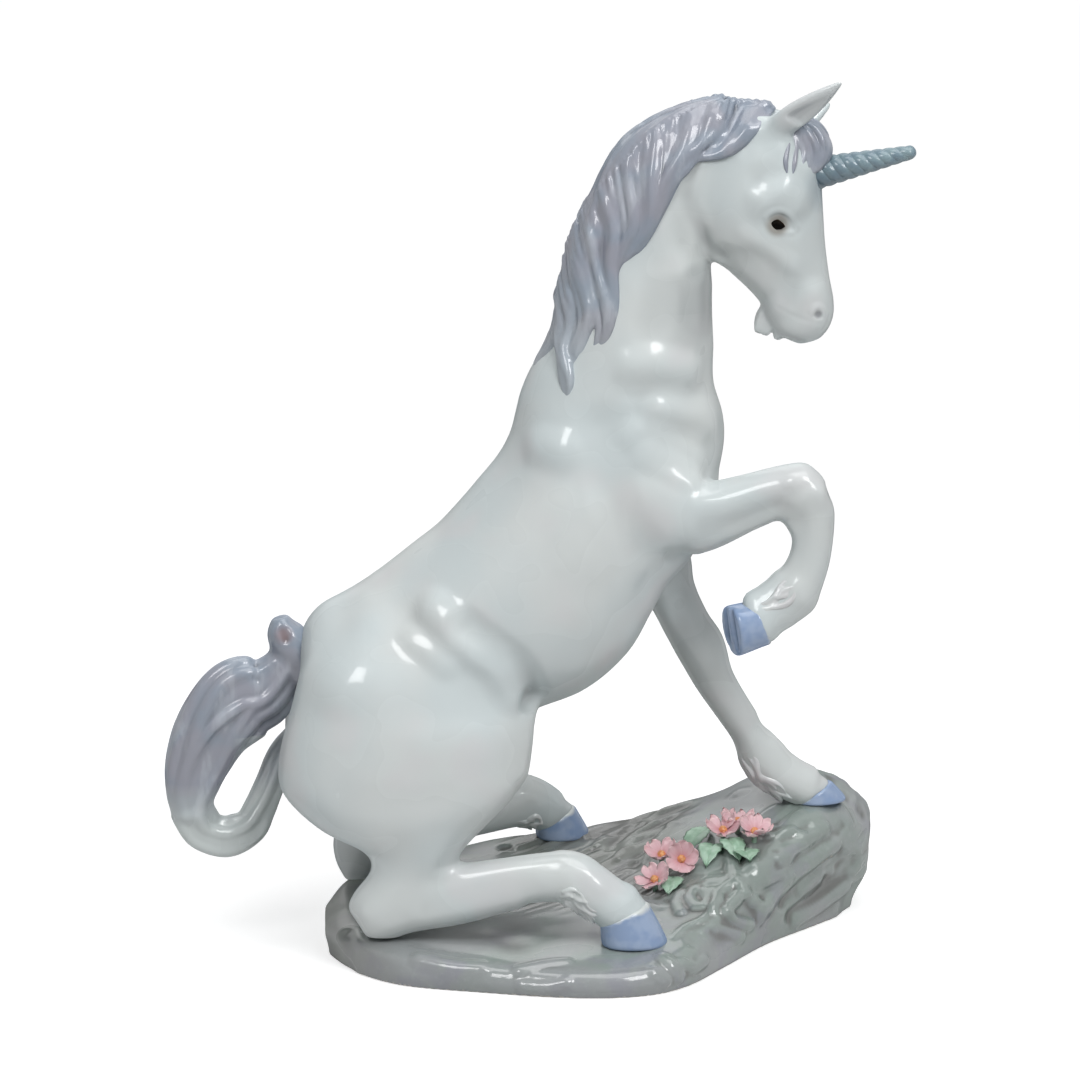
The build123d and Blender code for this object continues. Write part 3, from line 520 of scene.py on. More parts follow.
class GlazeMix(Recipe):
    """A material under the brush: its nodes, and the few mixes that a glaze needs."""

    def __init__(self, name):
        self.material = bpy.data.materials.new(name)
        self.material.use_nodes = True
        super().__init__(self.material.node_tree)
        self.shader = self.tree.nodes["Principled BSDF"]
        self.place = self.node("ShaderNodeTexCoord", {}, {}, "Object")

    def grain(self, size, detail=3.0, roughness=0.5, stretch=(1, 1, 1), distortion=0.0):
        """Noise whose lumps have a size in millimetres."""
        scale = tuple(s / (size * MILLIMETRE) for s in stretch)
        where = self.node("ShaderNodeMapping", {}, {"Vector": self.place, "Scale": scale})
        return self.node("ShaderNodeTexNoise", {}, {
            "Vector": where, "Scale": 1.0, "Detail": detail, "Roughness": roughness, "Distortion": distortion,
        })

    def span(self, value, low, high, to_low=0.0, to_high=1.0):
        """A value between two limits, eased and moved to two others."""
        inputs = {"Value": value, 1: low, 2: high, 3: to_low, 4: to_high}
        return self.node("ShaderNodeMapRange", {"interpolation_type": "SMOOTHSTEP"}, inputs)

    def blend(self, share, first, second):
        """One colour over another by a share."""
        inputs = {0: share}
        for key, value in ((6, first), (7, second)):
            inputs[key] = value if isinstance(value, Wire) else (*value, 1.0)
        return self.node("ShaderNodeMix", {"data_type": "RGBA"}, inputs, 2)

    def layers(self, tone, *coats):
        """Colours laid over a first one, each by its share."""
        for share, over in coats:
            tone = self.blend(share, tone, over)
        return tone

    def mark(self, name):
        """A painted mark that the piece carries in its surface."""
        return self.node("ShaderNodeAttribute", {"attribute_name": name}, {}, 2)

    def bump(self, height, strength, distance):
        """A small relief in the glaze."""
        inputs = {"Height": height, "Strength": strength, "Distance": distance * MILLIMETRE}
        return self.node("ShaderNodeBump", {}, inputs)

    def fire(self, colour, roughness, relief, coat=0.5, coat_roughness=0.10):
        """Joins the colour and relief to the shader, with a gloss that fades towards the piece's edges."""
        edge = self.node("ShaderNodeLayerWeight", {}, {"Blend": 0.5}, "Facing")
        values = {
            "Base Color": colour,
            "Roughness": self.span(edge, 0.45, 0.95, 0.0, 0.6) + roughness,
            "Coat Weight": self.span(edge, 0.30, 0.80, coat, 0.0),
            "Normal": relief,
        }
        for label, value in values.items():
            self.tree.links.new(value.socket, self.shader.inputs[label])
        self.shader.inputs["Coat Roughness"].default_value = coat_roughness
        self.shader.inputs["IOR"].default_value = 1.35
        return self.material


def porcelain_glaze(colours):
    """Pale cool porcelain with faint blue and warm tints, darker in its creases, with painted shade under the
    throat, on the far elbow and hock, the rump and the knee.
    """
    mix = GlazeMix("body_glaze")
    veil = mix.grain(19, 1.0)
    pale = mix.layers(
        colours.body,
        (mix.span(mix.grain(46, 2.0), 0.38, 0.62), colours.body_cool),
        (mix.span(veil, 0.52, 0.72, 0.0, 0.55), colours.body_warm),
        # The crease mark darkens the creases and carries painted shade under the throat, on the far elbow and
        # hock, the rump and the knee.
        (mix.span(mix.mark("crease"), 0.02, 0.5, 0.0, 0.6), colours.body_shade),
        (mix.mark("halo"), colours.horn_halo),
        (mix.mark("lid"), colours.lid),
        (mix.mark("nostril"), colours.nostril),
    )
    ripple = mix.grain(9, 1.0)
    gloss = mix.span(veil, 0.3, 0.7, 0.24, 0.31)
    return mix.fire(pale, gloss, mix.bump(ripple, 0.10, 0.10), coat=0.60, coat_roughness=0.09)


def hair_glaze(colours, name, first, second, shade, streaks):
    """Glaze over modelled hair: two tones by turns, streaks of a third, darker in the grooves."""
    mix = GlazeMix(name)
    drift = mix.grain(15, 2.0, distortion=0.5)
    streak = mix.grain(7, 3.0, stretch=(1, 0.6, 0.35))
    tone = mix.layers(
        first,
        (mix.span(drift, 0.36, 0.64), second),
        (mix.span(streak, 0.48, 0.70, 0.0, 0.45), streaks),
        (mix.span(mix.mark("crease"), 0.00, 0.40, 0.0, 0.85), shade),
        (mix.mark("fade"), colours.tail_green),
        (mix.mark("pit"), colours.tail_pit),
    )
    fine = mix.grain(1.6, 2.0, stretch=(1, 1, 0.25))
    return mix.fire(tone, mix.span(streak, 0.3, 0.7, 0.20, 0.30), mix.bump(fine, 0.10, 0.08), coat=0.7)


def mane_tones(colours):
    """The mane's blue, lilac, grooves and pearl."""
    return colours.mane_blue, colours.mane_lilac, colours.mane_shade, colours.mane_pearl


def horn_glaze(colours):
    """Dark grey-blue glaze, thin and pale on the ribs and deep in the flutes."""
    mix = GlazeMix("horn_glaze")
    cloud = mix.grain(3.0, 3.0)
    tone = mix.layers(
        colours.horn,
        (mix.span(cloud, 0.35, 0.65), colours.horn_light),
        (mix.mark("crease"), colours.horn_deep),
    )
    return mix.fire(tone, mix.span(cloud, 0.3, 0.7, 0.18, 0.30), mix.bump(mix.grain(0.8, 2.0), 0.18, 0.06))


def hoof_glaze(colours):
    """Periwinkle glaze, paler round the coronet and darker towards the sole."""
    mix = GlazeMix("hoof_glaze")
    cloud = mix.grain(5.0, 2.0)
    tone = mix.layers(
        colours.hoof,
        (mix.span(cloud, 0.36, 0.64), colours.hoof_light),
        (mix.mark("crease"), colours.hoof_deep),
        (mix.mark("fade"), colours.body),
    )
    return mix.fire(tone, mix.span(cloud, 0.3, 0.7, 0.16, 0.26), mix.bump(mix.grain(1.2, 2.0), 0.10, 0.06))


def rock_glaze(colours):
    """Grey glaze that breaks to green, lilac and brown over the rock's ridges, with painted shade in brown at
    the rock's left end.
    """
    mix = GlazeMix("base_glaze")
    broad = mix.grain(34, 3.0, distortion=0.6)
    patch = mix.grain(16, 4.0, distortion=0.8)
    speck = mix.grain(2.4, 4.0, 0.65)
    tone = mix.layers(
        colours.rock,
        (mix.span(broad, 0.38, 0.62), colours.rock_green),
        (mix.span(patch, 0.52, 0.68, 0.0, 0.65), colours.rock_lilac),
        (mix.span(speck, 0.48, 0.75, 0.0, 0.30), colours.rock_light),
        # Brown of the back, and painted shade at the rock's left end.
        (mix.mark("bark"), colours.rock_brown),
        (mix.mark("leafy"), colours.rock_green),
        (mix.span(mix.mark("crease"), 0.00, 0.35, 0.0, 0.85), colours.rock_deep),
        (mix.mark("foot"), colours.biscuit),
    )
    sheen = mix.span(patch, 0.3, 0.7, 0.13, 0.22) + mix.mark("foot") * 0.5
    return mix.fire(tone, sheen, mix.bump(speck, 0.15, 0.10), coat=0.8)


def petal_glaze(colours):
    """Pink petals, paler at the rim and deeper at the heart, with fine veins."""
    mix = GlazeMix("petal_glaze")
    rim = mix.mark("rim")
    tone = mix.layers(
        colours.petal_deep,
        (mix.span(rim, 0.15, 0.75), colours.petal),
        (mix.span(rim, 0.80, 1.0), colours.petal_edge),
        (mix.mark("vein") * 0.35, colours.petal_deep),
    )
    return mix.fire(tone, 0.32, mix.bump(mix.grain(0.6, 2.0), 0.15, 0.05), coat=0.35, coat_roughness=0.12)


def pollen_glaze(colours):
    """Orange-yellow beads."""
    mix = GlazeMix("pollen_glaze")
    tone = mix.blend(mix.span(mix.grain(0.9, 2.0), 0.35, 0.65), colours.pollen, colours.pollen_deep)
    return mix.fire(tone, 0.35, mix.bump(mix.grain(0.4, 2.0), 0.2, 0.05), coat=0.4)


def leaf_glaze(colours):
    """Green leaves, darker at the root."""
    mix = GlazeMix("leaf_glaze")
    cloud = mix.grain(3.0, 3.0)
    tone = mix.blend(mix.span(cloud, 0.36, 0.64), colours.leaf, colours.leaf_light)
    tone = mix.blend(mix.mark("rim"), tone, colours.leaf_deep)
    return mix.fire(tone, 0.30, mix.bump(mix.grain(0.7, 2.0), 0.15, 0.05), coat=0.4, coat_roughness=0.1)


def eye_glaze(colours):
    """A near-black eye with a brown rim."""
    mix = GlazeMix("eye_glaze")
    tone = mix.blend(mix.mark("rim"), colours.eye, colours.eye_rim)
    tone = mix.blend(mix.span(mix.grain(0.7, 2.0), 0.45, 0.8, 0.0, 0.3), tone, colours.eye_rim)
    material = mix.fire(tone, 0.42, mix.bump(mix.grain(0.5, 1.0), 0.05, 0.02), coat=0.0)
    mix.shader.inputs["IOR"].default_value = 1.10
    return material


def colour(label, note, *tone):
    """One colour of the glazes, as a paint chart gives it."""
    return FloatVectorProperty(
        name=label, description=note, default=paint(*tone), size=3, min=0, max=1, subtype="COLOR",
    )


def factor(label, note, value):
    """One plain factor."""
    return FloatProperty(name=label, description=note, default=value, min=0, max=1, subtype="FACTOR")


def number(label, note, value, low, high):
    """One whole number."""
    return IntProperty(name=label, description=note, default=value, min=low, max=high)


def length(label, note, value):
    """One length in millimetres, kept in metres."""
    return FloatProperty(
        name=label, description=note, default=value * MILLIMETRE, min=0, subtype="DISTANCE", unit="LENGTH",
    )


class GlazeColours(bpy.types.PropertyGroup):
    """The colours of the glazes."""

    body: colour("Body", "Pale porcelain", 208, 213, 212)
    body_cool: colour("Body, cool", "Porcelain where the glaze is bluish", 201, 210, 211)
    body_warm: colour("Body, warm", "Porcelain where the glaze is warm", 209, 209, 210)
    # Used in the creases, and as painted shade under the throat, on the far elbow and hock, the rump and the
    # knee.
    body_shade: colour("Body, creases", "Glaze that pools in creases", 152, 157, 158)
    feather_shade: colour("Fetlock hair", "Pinkish-brown hair at the fetlocks", 150, 138, 134)
    horn_halo: colour("Horn halo", "Blue that bleeds round the horn", 128, 148, 160)
    lid: colour("Eyelids", "Brown-beige round the eyes", 120, 105, 86)
    nostril: colour("Nostrils", "Grey inside the nostrils", 128, 130, 134)
    mane_blue: colour("Mane, blue", "Blue-grey of the mane", 137, 148, 162)
    mane_lilac: colour("Mane, lilac", "Lilac of the mane", 148, 150, 161)
    mane_shade: colour("Mane, grooves", "Grooves of the mane", 98, 103, 112)
    mane_pearl: colour("Mane, pearl", "Pale streaks of the mane", 196, 202, 210)
    tail_green: colour("Tail, green", "Grey-green end of the tail", 196, 203, 202)
    tail_pit: colour("Tail, pit", "Reddish-brown in the pit of the tail's knob", 140, 110, 108)
    horn: colour("Horn", "Grey-blue of the horn", 112, 134, 146)
    horn_light: colour("Horn, light", "Pale teal of the horn", 128, 150, 157)
    horn_deep: colour("Horn, deep", "Flutes of the horn", 74, 93, 106)
    hoof: colour("Hoof", "Periwinkle of the hooves", 136, 158, 192)
    hoof_light: colour("Hoof, light", "Paler blue of the hooves", 154, 172, 200)
    hoof_deep: colour("Hoof, deep", "Blue-grey lines of the soles", 82, 100, 126)
    rock: colour("Rock", "Grey of the rock", 147, 151, 152)
    rock_green: colour("Rock, green", "Greenish grey of the rock", 138, 149, 144)
    rock_lilac: colour("Rock, lilac", "Lilac grey of the rock", 141, 142, 151)
    rock_light: colour("Rock, light", "Pale specks of the rock", 162, 167, 167)
    # Also the colour of the painted shade at the rock's left end.
    rock_brown: colour("Rock, brown", "Brownish grey of the back", 122, 122, 117)
    rock_deep: colour("Rock, deep", "Glaze in the rock's grooves", 100, 101, 98)
    biscuit: colour("Foot", "Unglazed foot of the rock", 196, 190, 180)
    petal: colour("Petal", "Pink of the petals", 226, 190, 196)
    petal_deep: colour("Petal, deep", "Deep pink at the heart", 206, 152, 160)
    petal_edge: colour("Petal, edge", "Pale edge of the petals", 236, 204, 206)
    pollen: colour("Pollen", "Orange-yellow beads", 226, 172, 112)
    pollen_deep: colour("Pollen, deep", "Orange of the beads", 214, 138, 92)
    leaf: colour("Leaf", "Green of the leaves", 146, 182, 156)
    leaf_light: colour("Leaf, light", "Pale green of the leaves", 176, 204, 184)
    leaf_deep: colour("Leaf, deep", "Dark green at the leaf's root", 82, 112, 92)
    eye: colour("Eye", "Near-black of the eye", 8, 7, 6)
    eye_rim: colour("Eye rim", "Brown round the eye", 44, 31, 20)
    floor: colour("Floor", "Plain pale floor", 208, 208, 208)


class FigureSizes(bpy.types.PropertyGroup):
    """The sizes that a maker would change."""

    body_step: length("Body grid", "Spacing of the clay grid for the body", 0.90)
    head_step: length("Head grid", "Spacing of the clay grid for the head", 0.42)
    hair_step: length("Hair grid", "Spacing of the clay grid for the hair", 0.42)
    rock_step: length("Rock grid", "Spacing of the clay grid for the rock", 0.68)
    strand_count: number("Strands", "Strands in each lock of the mane", 7, 2, 9)
    horn_turns: number("Horn ribs", "Ribs along the horn's length", 11, 2, 30)
    horn_rib: length("Horn rib", "Height of the horn's ribs", 0.56)
    petal_count: number("Petals", "Petals in each flower", 5, 3, 9)
    softbox: factor("Softbox", "Strength of the four softboxes", 0.5)


# x, front, back, and the heights of the front, the middle and the back
ROCK_ROWS = [
    (0, 0.33, 0.52, 0.21, 0.25, 0.25), (0.045, 0.22, 0.64, 0.29, 0.35, 0.37),
    (0.145, 0.1, 0.75, 0.28, 0.33, 0.42), (0.3, 0.043, 0.843, 0.26, 0.33, 0.5),
    (0.46, 0.004, 0.89, 0.25, 0.36, 0.56), (0.585, 0.016, 0.92, 0.27, 0.45, 0.66),
    (0.667, 0.087, 0.945, 0.34, 0.6, 0.75), (0.742, 0.24, 0.97, 0.5, 0.78, 0.82),
    (0.818, 0.405, 0.985, 0.74, 0.94, 0.94), (0.906, 0.545, 1, 0.9, 1, 0.92),
    (0.965, 0.64, 0.985, 0.84, 0.93, 0.82), (1, 0.7, 0.94, 0.66, 0.72, 0.66),
]
# back x and z, front x and z, half breadth
BODY_ROWS = [
    (0.0325, 0.37, 0.03, 0.28, 0.15), (0.045, 0.43, 0.07, 0.21, 0.32), (0.08, 0.474, 0.1375, 0.16, 0.4),
    (0.15, 0.508, 0.255, 0.15, 0.46), (0.2625, 0.562, 0.4125, 0.19, 0.483),
    (0.35, 0.62, 0.575, 0.276, 0.49), (0.425, 0.68, 0.7375, 0.328, 0.5), (0.4875, 0.736, 0.845, 0.4, 0.49),
    (0.5325, 0.784, 0.905, 0.48, 0.467), (0.56, 0.83, 0.945, 0.536, 0.44),
    (0.5725, 0.872, 1.005, 0.59, 0.417), (0.585, 0.914, 1.055, 0.68, 0.39),
    (0.6125, 0.964, 1.0725, 0.81, 0.345),
]
NECK_ROWS = [
    (0.1, 0.118, 0.833, 0.053, 0.487), (0.16, 0.26, 0.823, 0.225, 0.434), (0.225, 0.4, 0.822, 0.35, 0.395),
    (0.295, 0.59, 0.8, 0.44, 0.355), (0.435, 0.81, 0.845, 0.53, 0.329), (0.641, 0.93, 0.9, 0.606, 0.303),
    (0.875, 0.992, 0.996, 0.656, 0.276),
]
# forehead x and drop, throat x and drop, half breadth
HEAD_ROWS = [
    (0.094, 0.043, 0.456, 0.043, 0.23), (0.035, 0.094, 0.4925, 0.086, 0.35),
    (-0.13, 0.266, 0.695, 0.223, 0.473), (-0.2475, 0.447, 0.71, 0.36, 0.5),
    (-0.19, 0.567, 0.725, 0.49, 0.473), (-0.045, 0.679, 0.74, 0.593, 0.415),
    (0.145, 0.79, 0.7675, 0.713, 0.338), (0.29, 0.884, 0.7975, 0.807, 0.292),
    (0.3775, 0.953, 0.7975, 0.876, 0.27), (0.4775, 0.983, 0.7675, 0.931, 0.215),
    (0.55, 1, 0.71, 0.974, 0.115),
]
# back x and z, front x and z, side, half breadth
NEAR_HAUNCH_ROWS = [
    (0.205, 0.5, 0.3, 0.507, -0.15, 0.045), (0.155, 0.46, 0.35, 0.48, -0.2, 0.117),
    (0.055, 0.4, 0.485, 0.406, -0.25, 0.267), (0, 0.305, 0.59, 0.315, -0.295, 0.31),
    (-0.0275, 0.215, 0.5925, 0.223, -0.328, 0.315), (-0.015, 0.154, 0.565, 0.156, -0.352, 0.295),
    (0.07, 0.091, 0.49, 0.095, -0.375, 0.242), (0.18, 0.047, 0.435, 0.051, -0.392, 0.192),
    (0.2025, 0.008, 0.39, 0.004, -0.4, 0.163), (0.155, -0.051, 0.35, -0.043, -0.408, 0.15),
    (0.155, -0.08, 0.305, -0.077, -0.408, 0.125), (0.19, -0.116, 0.27, -0.116, -0.408, 0.075),
]
FAR_HAUNCH_ROWS = [
    (0.205, 0.5, 0.3, 0.507, 0.15, 0.045), (0.155, 0.46, 0.35, 0.48, 0.2, 0.117),
    (0.055, 0.4, 0.485, 0.406, 0.25, 0.267), (0, 0.305, 0.58, 0.315, 0.295, 0.31),
    (-0.02, 0.215, 0.56, 0.223, 0.328, 0.315), (-0.005, 0.154, 0.5, 0.156, 0.36, 0.295),
    (0.05, 0.1, 0.43, 0.105, 0.39, 0.242), (0.115, 0.06, 0.36, 0.06, 0.42, 0.192),
    (0.125, 0.02, 0.31, 0.02, 0.44, 0.163), (0.1, -0.03, 0.28, -0.03, 0.455, 0.15),
    (0.105, -0.075, 0.25, -0.075, 0.46, 0.125), (0.13, -0.115, 0.21, -0.115, 0.46, 0.075),
]
# Limbs: x, y and z as shares of the span, half depth and half breadth of the girth
NEAR_SHANK_ROWS = [
    (0, 0, 0, 0.4, 0.36), (0.28, 0.3, 0.2, 0.5, 0.42), (0.5, 0.6, 0.55, 0.45, 0.39),
    (0.7, 0.8, 0.74, 0.46, 0.41), (0.8, 0.9, 0.7, 0.5, 0.44), (0.9, 1, 0.28, 0.45, 0.42),
    (1, 1, -0.2, 0.42, 0.41),
]
FAR_SHANK_ROWS = [
    (0, 0, 0, 0.5, 0.45), (0.35, 0.27, 0.35, 0.45, 0.4), (0.62, 0.52, 0.6, 0.46, 0.4),
    (0.81, 0.8, 0.8, 0.54, 0.46), (0.92, 0.92, 0.55, 0.48, 0.44), (1, 1, 0.2, 0.43, 0.42),
]
FOREARM_ROWS = [
    (0, 0, 0, 0.4, 0.2), (0.16, 0.18, -0.25, 0.4, 0.25), (0.32, 0.35, -0.4, 0.31, 0.25),
    (0.55, 0.6, 0.04, 0.243, 0.21), (0.75, 0.8, 0.41, 0.215, 0.2), (0.9, 0.95, 0.5, 0.235, 0.21),
    (1, 1, 0.4, 0.2, 0.19), (1.05, 1, 0.3, 0.1, 0.1),
]
CANNON_ROWS = [
    (0, 0, 0.03, 0.5, 0.46), (-0.28, 0, 0.2, 0.42, 0.4), (-0.29, 0, 0.45, 0.37, 0.36),
    (-0.12, 0, 0.64, 0.4, 0.38), (0.17, 0, 0.785, 0.47, 0.42), (0.68, 0, 0.91, 0.41, 0.4),
    (1, 0, 1, 0.44, 0.44),
]
FAR_FORELEG_ROWS = [
    (0, 0, 0, 0.6, 0.45), (0.16, 0.16, 0.22, 0.5, 0.42), (0.24, 0.24, 0.32, 0.37, 0.35),
    (0.33, 0.31, 0.425, 0.35, 0.34), (0.41, 0.39, 0.505, 0.365, 0.35), (0.49, 0.5, 0.615, 0.3, 0.3),
    (0.6, 0.63, 0.72, 0.27, 0.28), (0.7, 0.75, 0.81, 0.27, 0.28), (0.79, 0.86, 0.9, 0.345, 0.33),
    (0.92, 0.93, 0.97, 0.31, 0.32), (1.05, 1, 1.01, 0.31, 0.32),
]
# along the ear, half breadth, half depth
EAR_ROWS = [
    (-0.1, 0.34, 0.4), (0.12, 0.46, 0.5), (0.35, 0.5, 0.46), (0.6, 0.4, 0.36), (0.82, 0.24, 0.24),
    (1, 0.08, 0.12),
]
EAR_BREADTH = 9.4
FORELOCK_ROWS = [
    (0, 0, 0, 0.3, 0.34), (0.55, 0.08, -0.28, 0.5, 0.44), (0.92, 0.3, -0.48, 0.46, 0.38),
    (0.85, 0.52, -0.66, 0.3, 0.26), (0.68, 0.66, -0.78, 0.1, 0.1),
]
EAR_DEPTH = 5.0
CREST_HEIGHT = 3.9
CREST_BREADTH = 17.0
# The crest's shares of these at the last rows of the neck
CREST_RISES = [0.1, 0.48, 0.78, 0.95, 1, 0.88, 0.72, 0.62]
CREST_BREADTHS = [0.2, 0.36, 0.44, 0.5, 0.5, 0.48, 0.46, 0.42]
# root x and z, tip x and z, bow
LOCK_ROWS = [
    (1.08, 0.985, 0.96, 0.84, 0.04), (0.86, 1, 0.775, 0.8, 0.04), (0.74, 0.975, 0.64, 0.78, 0.05),
    (0.56, 0.905, 0.5, 0.53, 0.06), (0.43, 0.8, 0.455, 0.48, 0.05), (0.325, 0.7, 0.4, 0.4, 0.05),
    (0.24, 0.6, 0.36, 0.26, 0.05), (0.18, 0.5, 0.33, 0.15, 0.05), (0.14, 0.35, 0.25, 0.08, 0.03),
    (0.11, 0.25, 0.15, -0.05, 0.02),
]
TAIL_ROOT_ROWS = [
    (0, 0, 0, 0.5, 0.5), (-0.5, 0, 0.4, 0.5, 0.5), (-0.85, 0, 0.72, 0.44, 0.45), (-1, 0, 1, 0.2, 0.22),
]
PLUME_ROWS = [
    (0, 0, 0, 0.22, 0.2), (0.21, 0, 0.13, 0.37, 0.25), (0.47, -0.1, 0.18, 0.47, 0.27),
    (0.74, -0.2, 0.33, 0.42, 0.26), (0.91, -0.2, 0.53, 0.36, 0.23), (0.98, -0.2, 0.69, 0.29, 0.2),
    (0.99, -0.1, 0.83, 0.2, 0.18),
]
STRAND_ROWS = [
    (0.99, -0.1, 0.83, 0.19, 0.17), (0.88, 0, 0.96, 0.16, 0.16), (0.61, 0.1, 1.01, 0.16, 0.16),
    (0.37, 0.3, 0.95, 0.15, 0.15), (0.27, 0.5, 0.85, 0.14, 0.14), (0.155, 0.7, 0.705, 0.13, 0.13),
    (0.02, 0.9, 0.545, 0.12, 0.13), (-0.25, 1, 0.4, 0.12, 0.13),
]
# x and y on the rock, tilt, turn, stem
FLOWER_ROWS = [
    (0.66, 0.48, 56, 5, 1.1), (0.625, 0.55, 20, -25, 0.8), (0.612, 0.425, 30, -48, 0.9),
    (0.738, 0.535, 22, -15, 1), (0.765, 0.575, 2, 10, 0.8), (0.795, 0.505, 20, 25, 0.8),
]
# x and y on the rock, heading, rise, size
LEAF_ROWS = [
    (0.645, 0.45, -100, 0.12, 0.85), (0.672, 0.57, 50, 0.15, 0.9), (0.722, 0.52, -105, 0.12, 0.9),
    (0.744, 0.515, -70, 0.12, 0.95), (0.775, 0.48, -80, 0.1, 0.85),
]
# Paths on the rock, in shares of its length and depth
VINE_PATHS = {
    "vine_near": [(0.640, 0.170), (0.665, 0.215), (0.700, 0.245), (0.725, 0.300), (0.728, 0.370)],
    "vine_far": [(0.700, 0.200), (0.735, 0.270), (0.775, 0.370), (0.790, 0.460), (0.780, 0.540)],
}
# Strokes: width, lift and the path as a viewer sees it, in x and height
NECK_STROKES = [
    (8, -0.5, [(14.5, 207.1), (18.8, 198.7), (17.4, 188.2)]),
    (7, 0.5, [(29, 207.1), (31, 200.2), (31.9, 191.2)]),
]
BODY_STROKES = [
    (8.5, 1.7, [(13, 174.6), (20.3, 175), (27.5, 173.6)]),
    (7.5, -0.9, [(14.5, 168.4), (21.8, 167.6), (29, 167)]),
    (8, 1.6, [(20.9, 162.2), (29, 161.2), (33.3, 158.4)]),
    (8, -1, [(14.5, 157.2), (23.2, 155), (30.4, 152.8)]),
    (7, 1.7, [(13.3, 155.5), (20.3, 152.5), (29, 148.9)]),
    (5.5, -0.7, [(15.9, 151.3), (21.8, 148.9), (29, 145.3)]),
    (6, 1.3, [(16.2, 148.9), (22.6, 145.6), (29.3, 141.7)]), (8, 1.5, [(-15.1, 151.9), (-8.7, 150.1)]),
    (13, 0.8, [(-2, 129.7), (-1.4, 119.2)]),
    (9, -1, [(2.9, 156.7), (5.2, 141.7), (9.3, 129.7), (14.5, 122.8)]),
    (12, 0.9, [(18, 134.2), (22.6, 126.1)]), (12, 0.9, [(-63.2, 96.1), (-69, 87.7), (-73.1, 79.9)]),
    (8, 2.3, [(-45.2, 103), (-38.9, 96.4), (-33.6, 91.6), (-27, 86.5), (-22.3, 78.1)]),
    (7, -2.6, [(-36, 97.3), (-28.4, 91.3), (-20.9, 85.3), (-17.1, 76.6)]),
    (5.5, 1.1, [(-51.9, 94.6), (-46.4, 90.4), (-41.8, 86.5)]),
    (12, -0.6, [(-55.7, 99.1), (-53.9, 87.7), (-51.6, 75.7)]), (10, 0.45, [(-44.1, 61.2), (-29.6, 61.2)]),
    (8, -0.5, [(-69.6, 46.2), (-55.1, 45), (-43.5, 45.9)]),
    (4.5, 0.7, [(-61.5, 25.8), (-66.1, 19.2), (-69.3, 14.1)]),
    (8, -0.7, [(-54.5, 30.6), (-53.9, 21.6), (-57.4, 14.1)]),
    (3.2, 0.45, [(-43.5, 23.7), (-31.9, 24.6), (-20.3, 26.7), (-8.7, 28.5)]),
    (5, -0.45, [(-47.8, 13.2), (-31.9, 17.4), (-17.4, 20.4)]),
    (5.5, 0.6, [(31, 135.4), (38.9, 134.5), (49, 138.4), (57.4, 140.8)]),
    (4.5, 0.6, [(58, 141.1), (61.8, 142.6)]), (4.5, -0.5, [(31.9, 126.7), (43.5, 129.7), (53.6, 134.2)]),
    (4, 0.5, [(66.7, 137.2), (69, 131.2)]), (4.5, 0.6, [(59.4, 109.3), (61.5, 105.7)]),
    (4, 0.5, [(0, 24), (2.9, 20.4)]), (5, 1.1, [(57, 62.8), (60.5, 60.2)]),
    (5, -0.8, [(50.5, 67.4), (53, 65)]),
]
HEAD_STROKES = [
    (7.5, 1.6, [(50.5, 223.6), (54.5, 225.8), (58.6, 223.9)]), (14, 0.7, [(38.3, 222.1), (41.2, 216.1)]),
    (3.6, -1, [(29.6, 234.2), (28.1, 227.3), (29.3, 220), (32.8, 212.8), (36.8, 208.3)]),
    (6, -1, [(24.9, 224.2), (26.4, 213.7), (30.2, 205.3)]),
    (4.5, 0.6, [(44.7, 213.7), (51.6, 209.5), (57.4, 205.3)]),
    (7, -0.8, [(47, 206.5), (52.8, 201.1), (56.8, 197.5)]),
    (5, 0.5, [(40.6, 207.1), (44.9, 202.6), (48.4, 198.4)]), (7, 0.8, [(64.4, 195.7), (65.8, 190.3)]),
    (6, -0.6, [(48.7, 230.3), (52.2, 231.2)]), (7, 0.9, [(48.4, 247.4), (52.2, 245.6), (55.4, 242.3)]),
    (5, -0.7, [(51.6, 219.1), (54.5, 217.9), (57.4, 216.7)]),
    (6, -0.5, [(62.6, 221.2), (64.4, 210.7), (64.4, 203.2)]),
    (7, -1.5, [(40, 206.6), (44, 201.4), (47.6, 196.6)]),
]
FACE_STROKES = [
    (1.4, 0.75, [(50.2, 219.4), (51.6, 220.9), (54.2, 221.4), (57.1, 220), (59.2, 216.4)]),
    (1.2, 0.5, [(50.5, 218.2), (51.9, 216.1), (54.8, 214.8), (58, 214.9)]),
    (1.8, -0.8, [(65.2, 190.9), (65.8, 190.6)]),
    (1.5, 0.45, [(63.8, 191.5), (64.7, 193), (66.4, 192.7), (67, 191.2)]),
    (1.1, -0.14, [(53.6, 193), (57.4, 190.9), (61.5, 189.1), (66.1, 188.2)]),
]
JAW_PATH = [(41, -0.5, 204.8), (44, -0.9, 201), (48.6, -1.6, 196.4)]
# Feet: leg, the hoof's heading and size, the way to the tuft of hair and the tuft's spread
FOOT_PLANS = {
    "near_hind": ("near_shank", (1.00, -0.05), 1.1, (-0.56, 0.0, -0.83), 1.25),
    "far_hind": ("far_shank", (0.95, 0.20), 0.92, (-0.75, -0.1, -0.65), 1.25),
    "near_fore": ("near_cannon", None, 1.0, (-0.35, 0.0, 0.94), 1.35),
    "far_fore": ("far_foreleg", (0.95, 0.16), 0.90, (-0.8, 0.1, -0.5), 1.3),
}
# x, y, z and half width
CALF_ROWS = [
    (-64, -24.5, 18, 5.6), (-56, -25, 18.6, 6), (-44, -25.5, 20.4, 5.6), (-33, -26.5, 22.8, 4.8),
    (-22, -27.5, 25.2, 4),
]
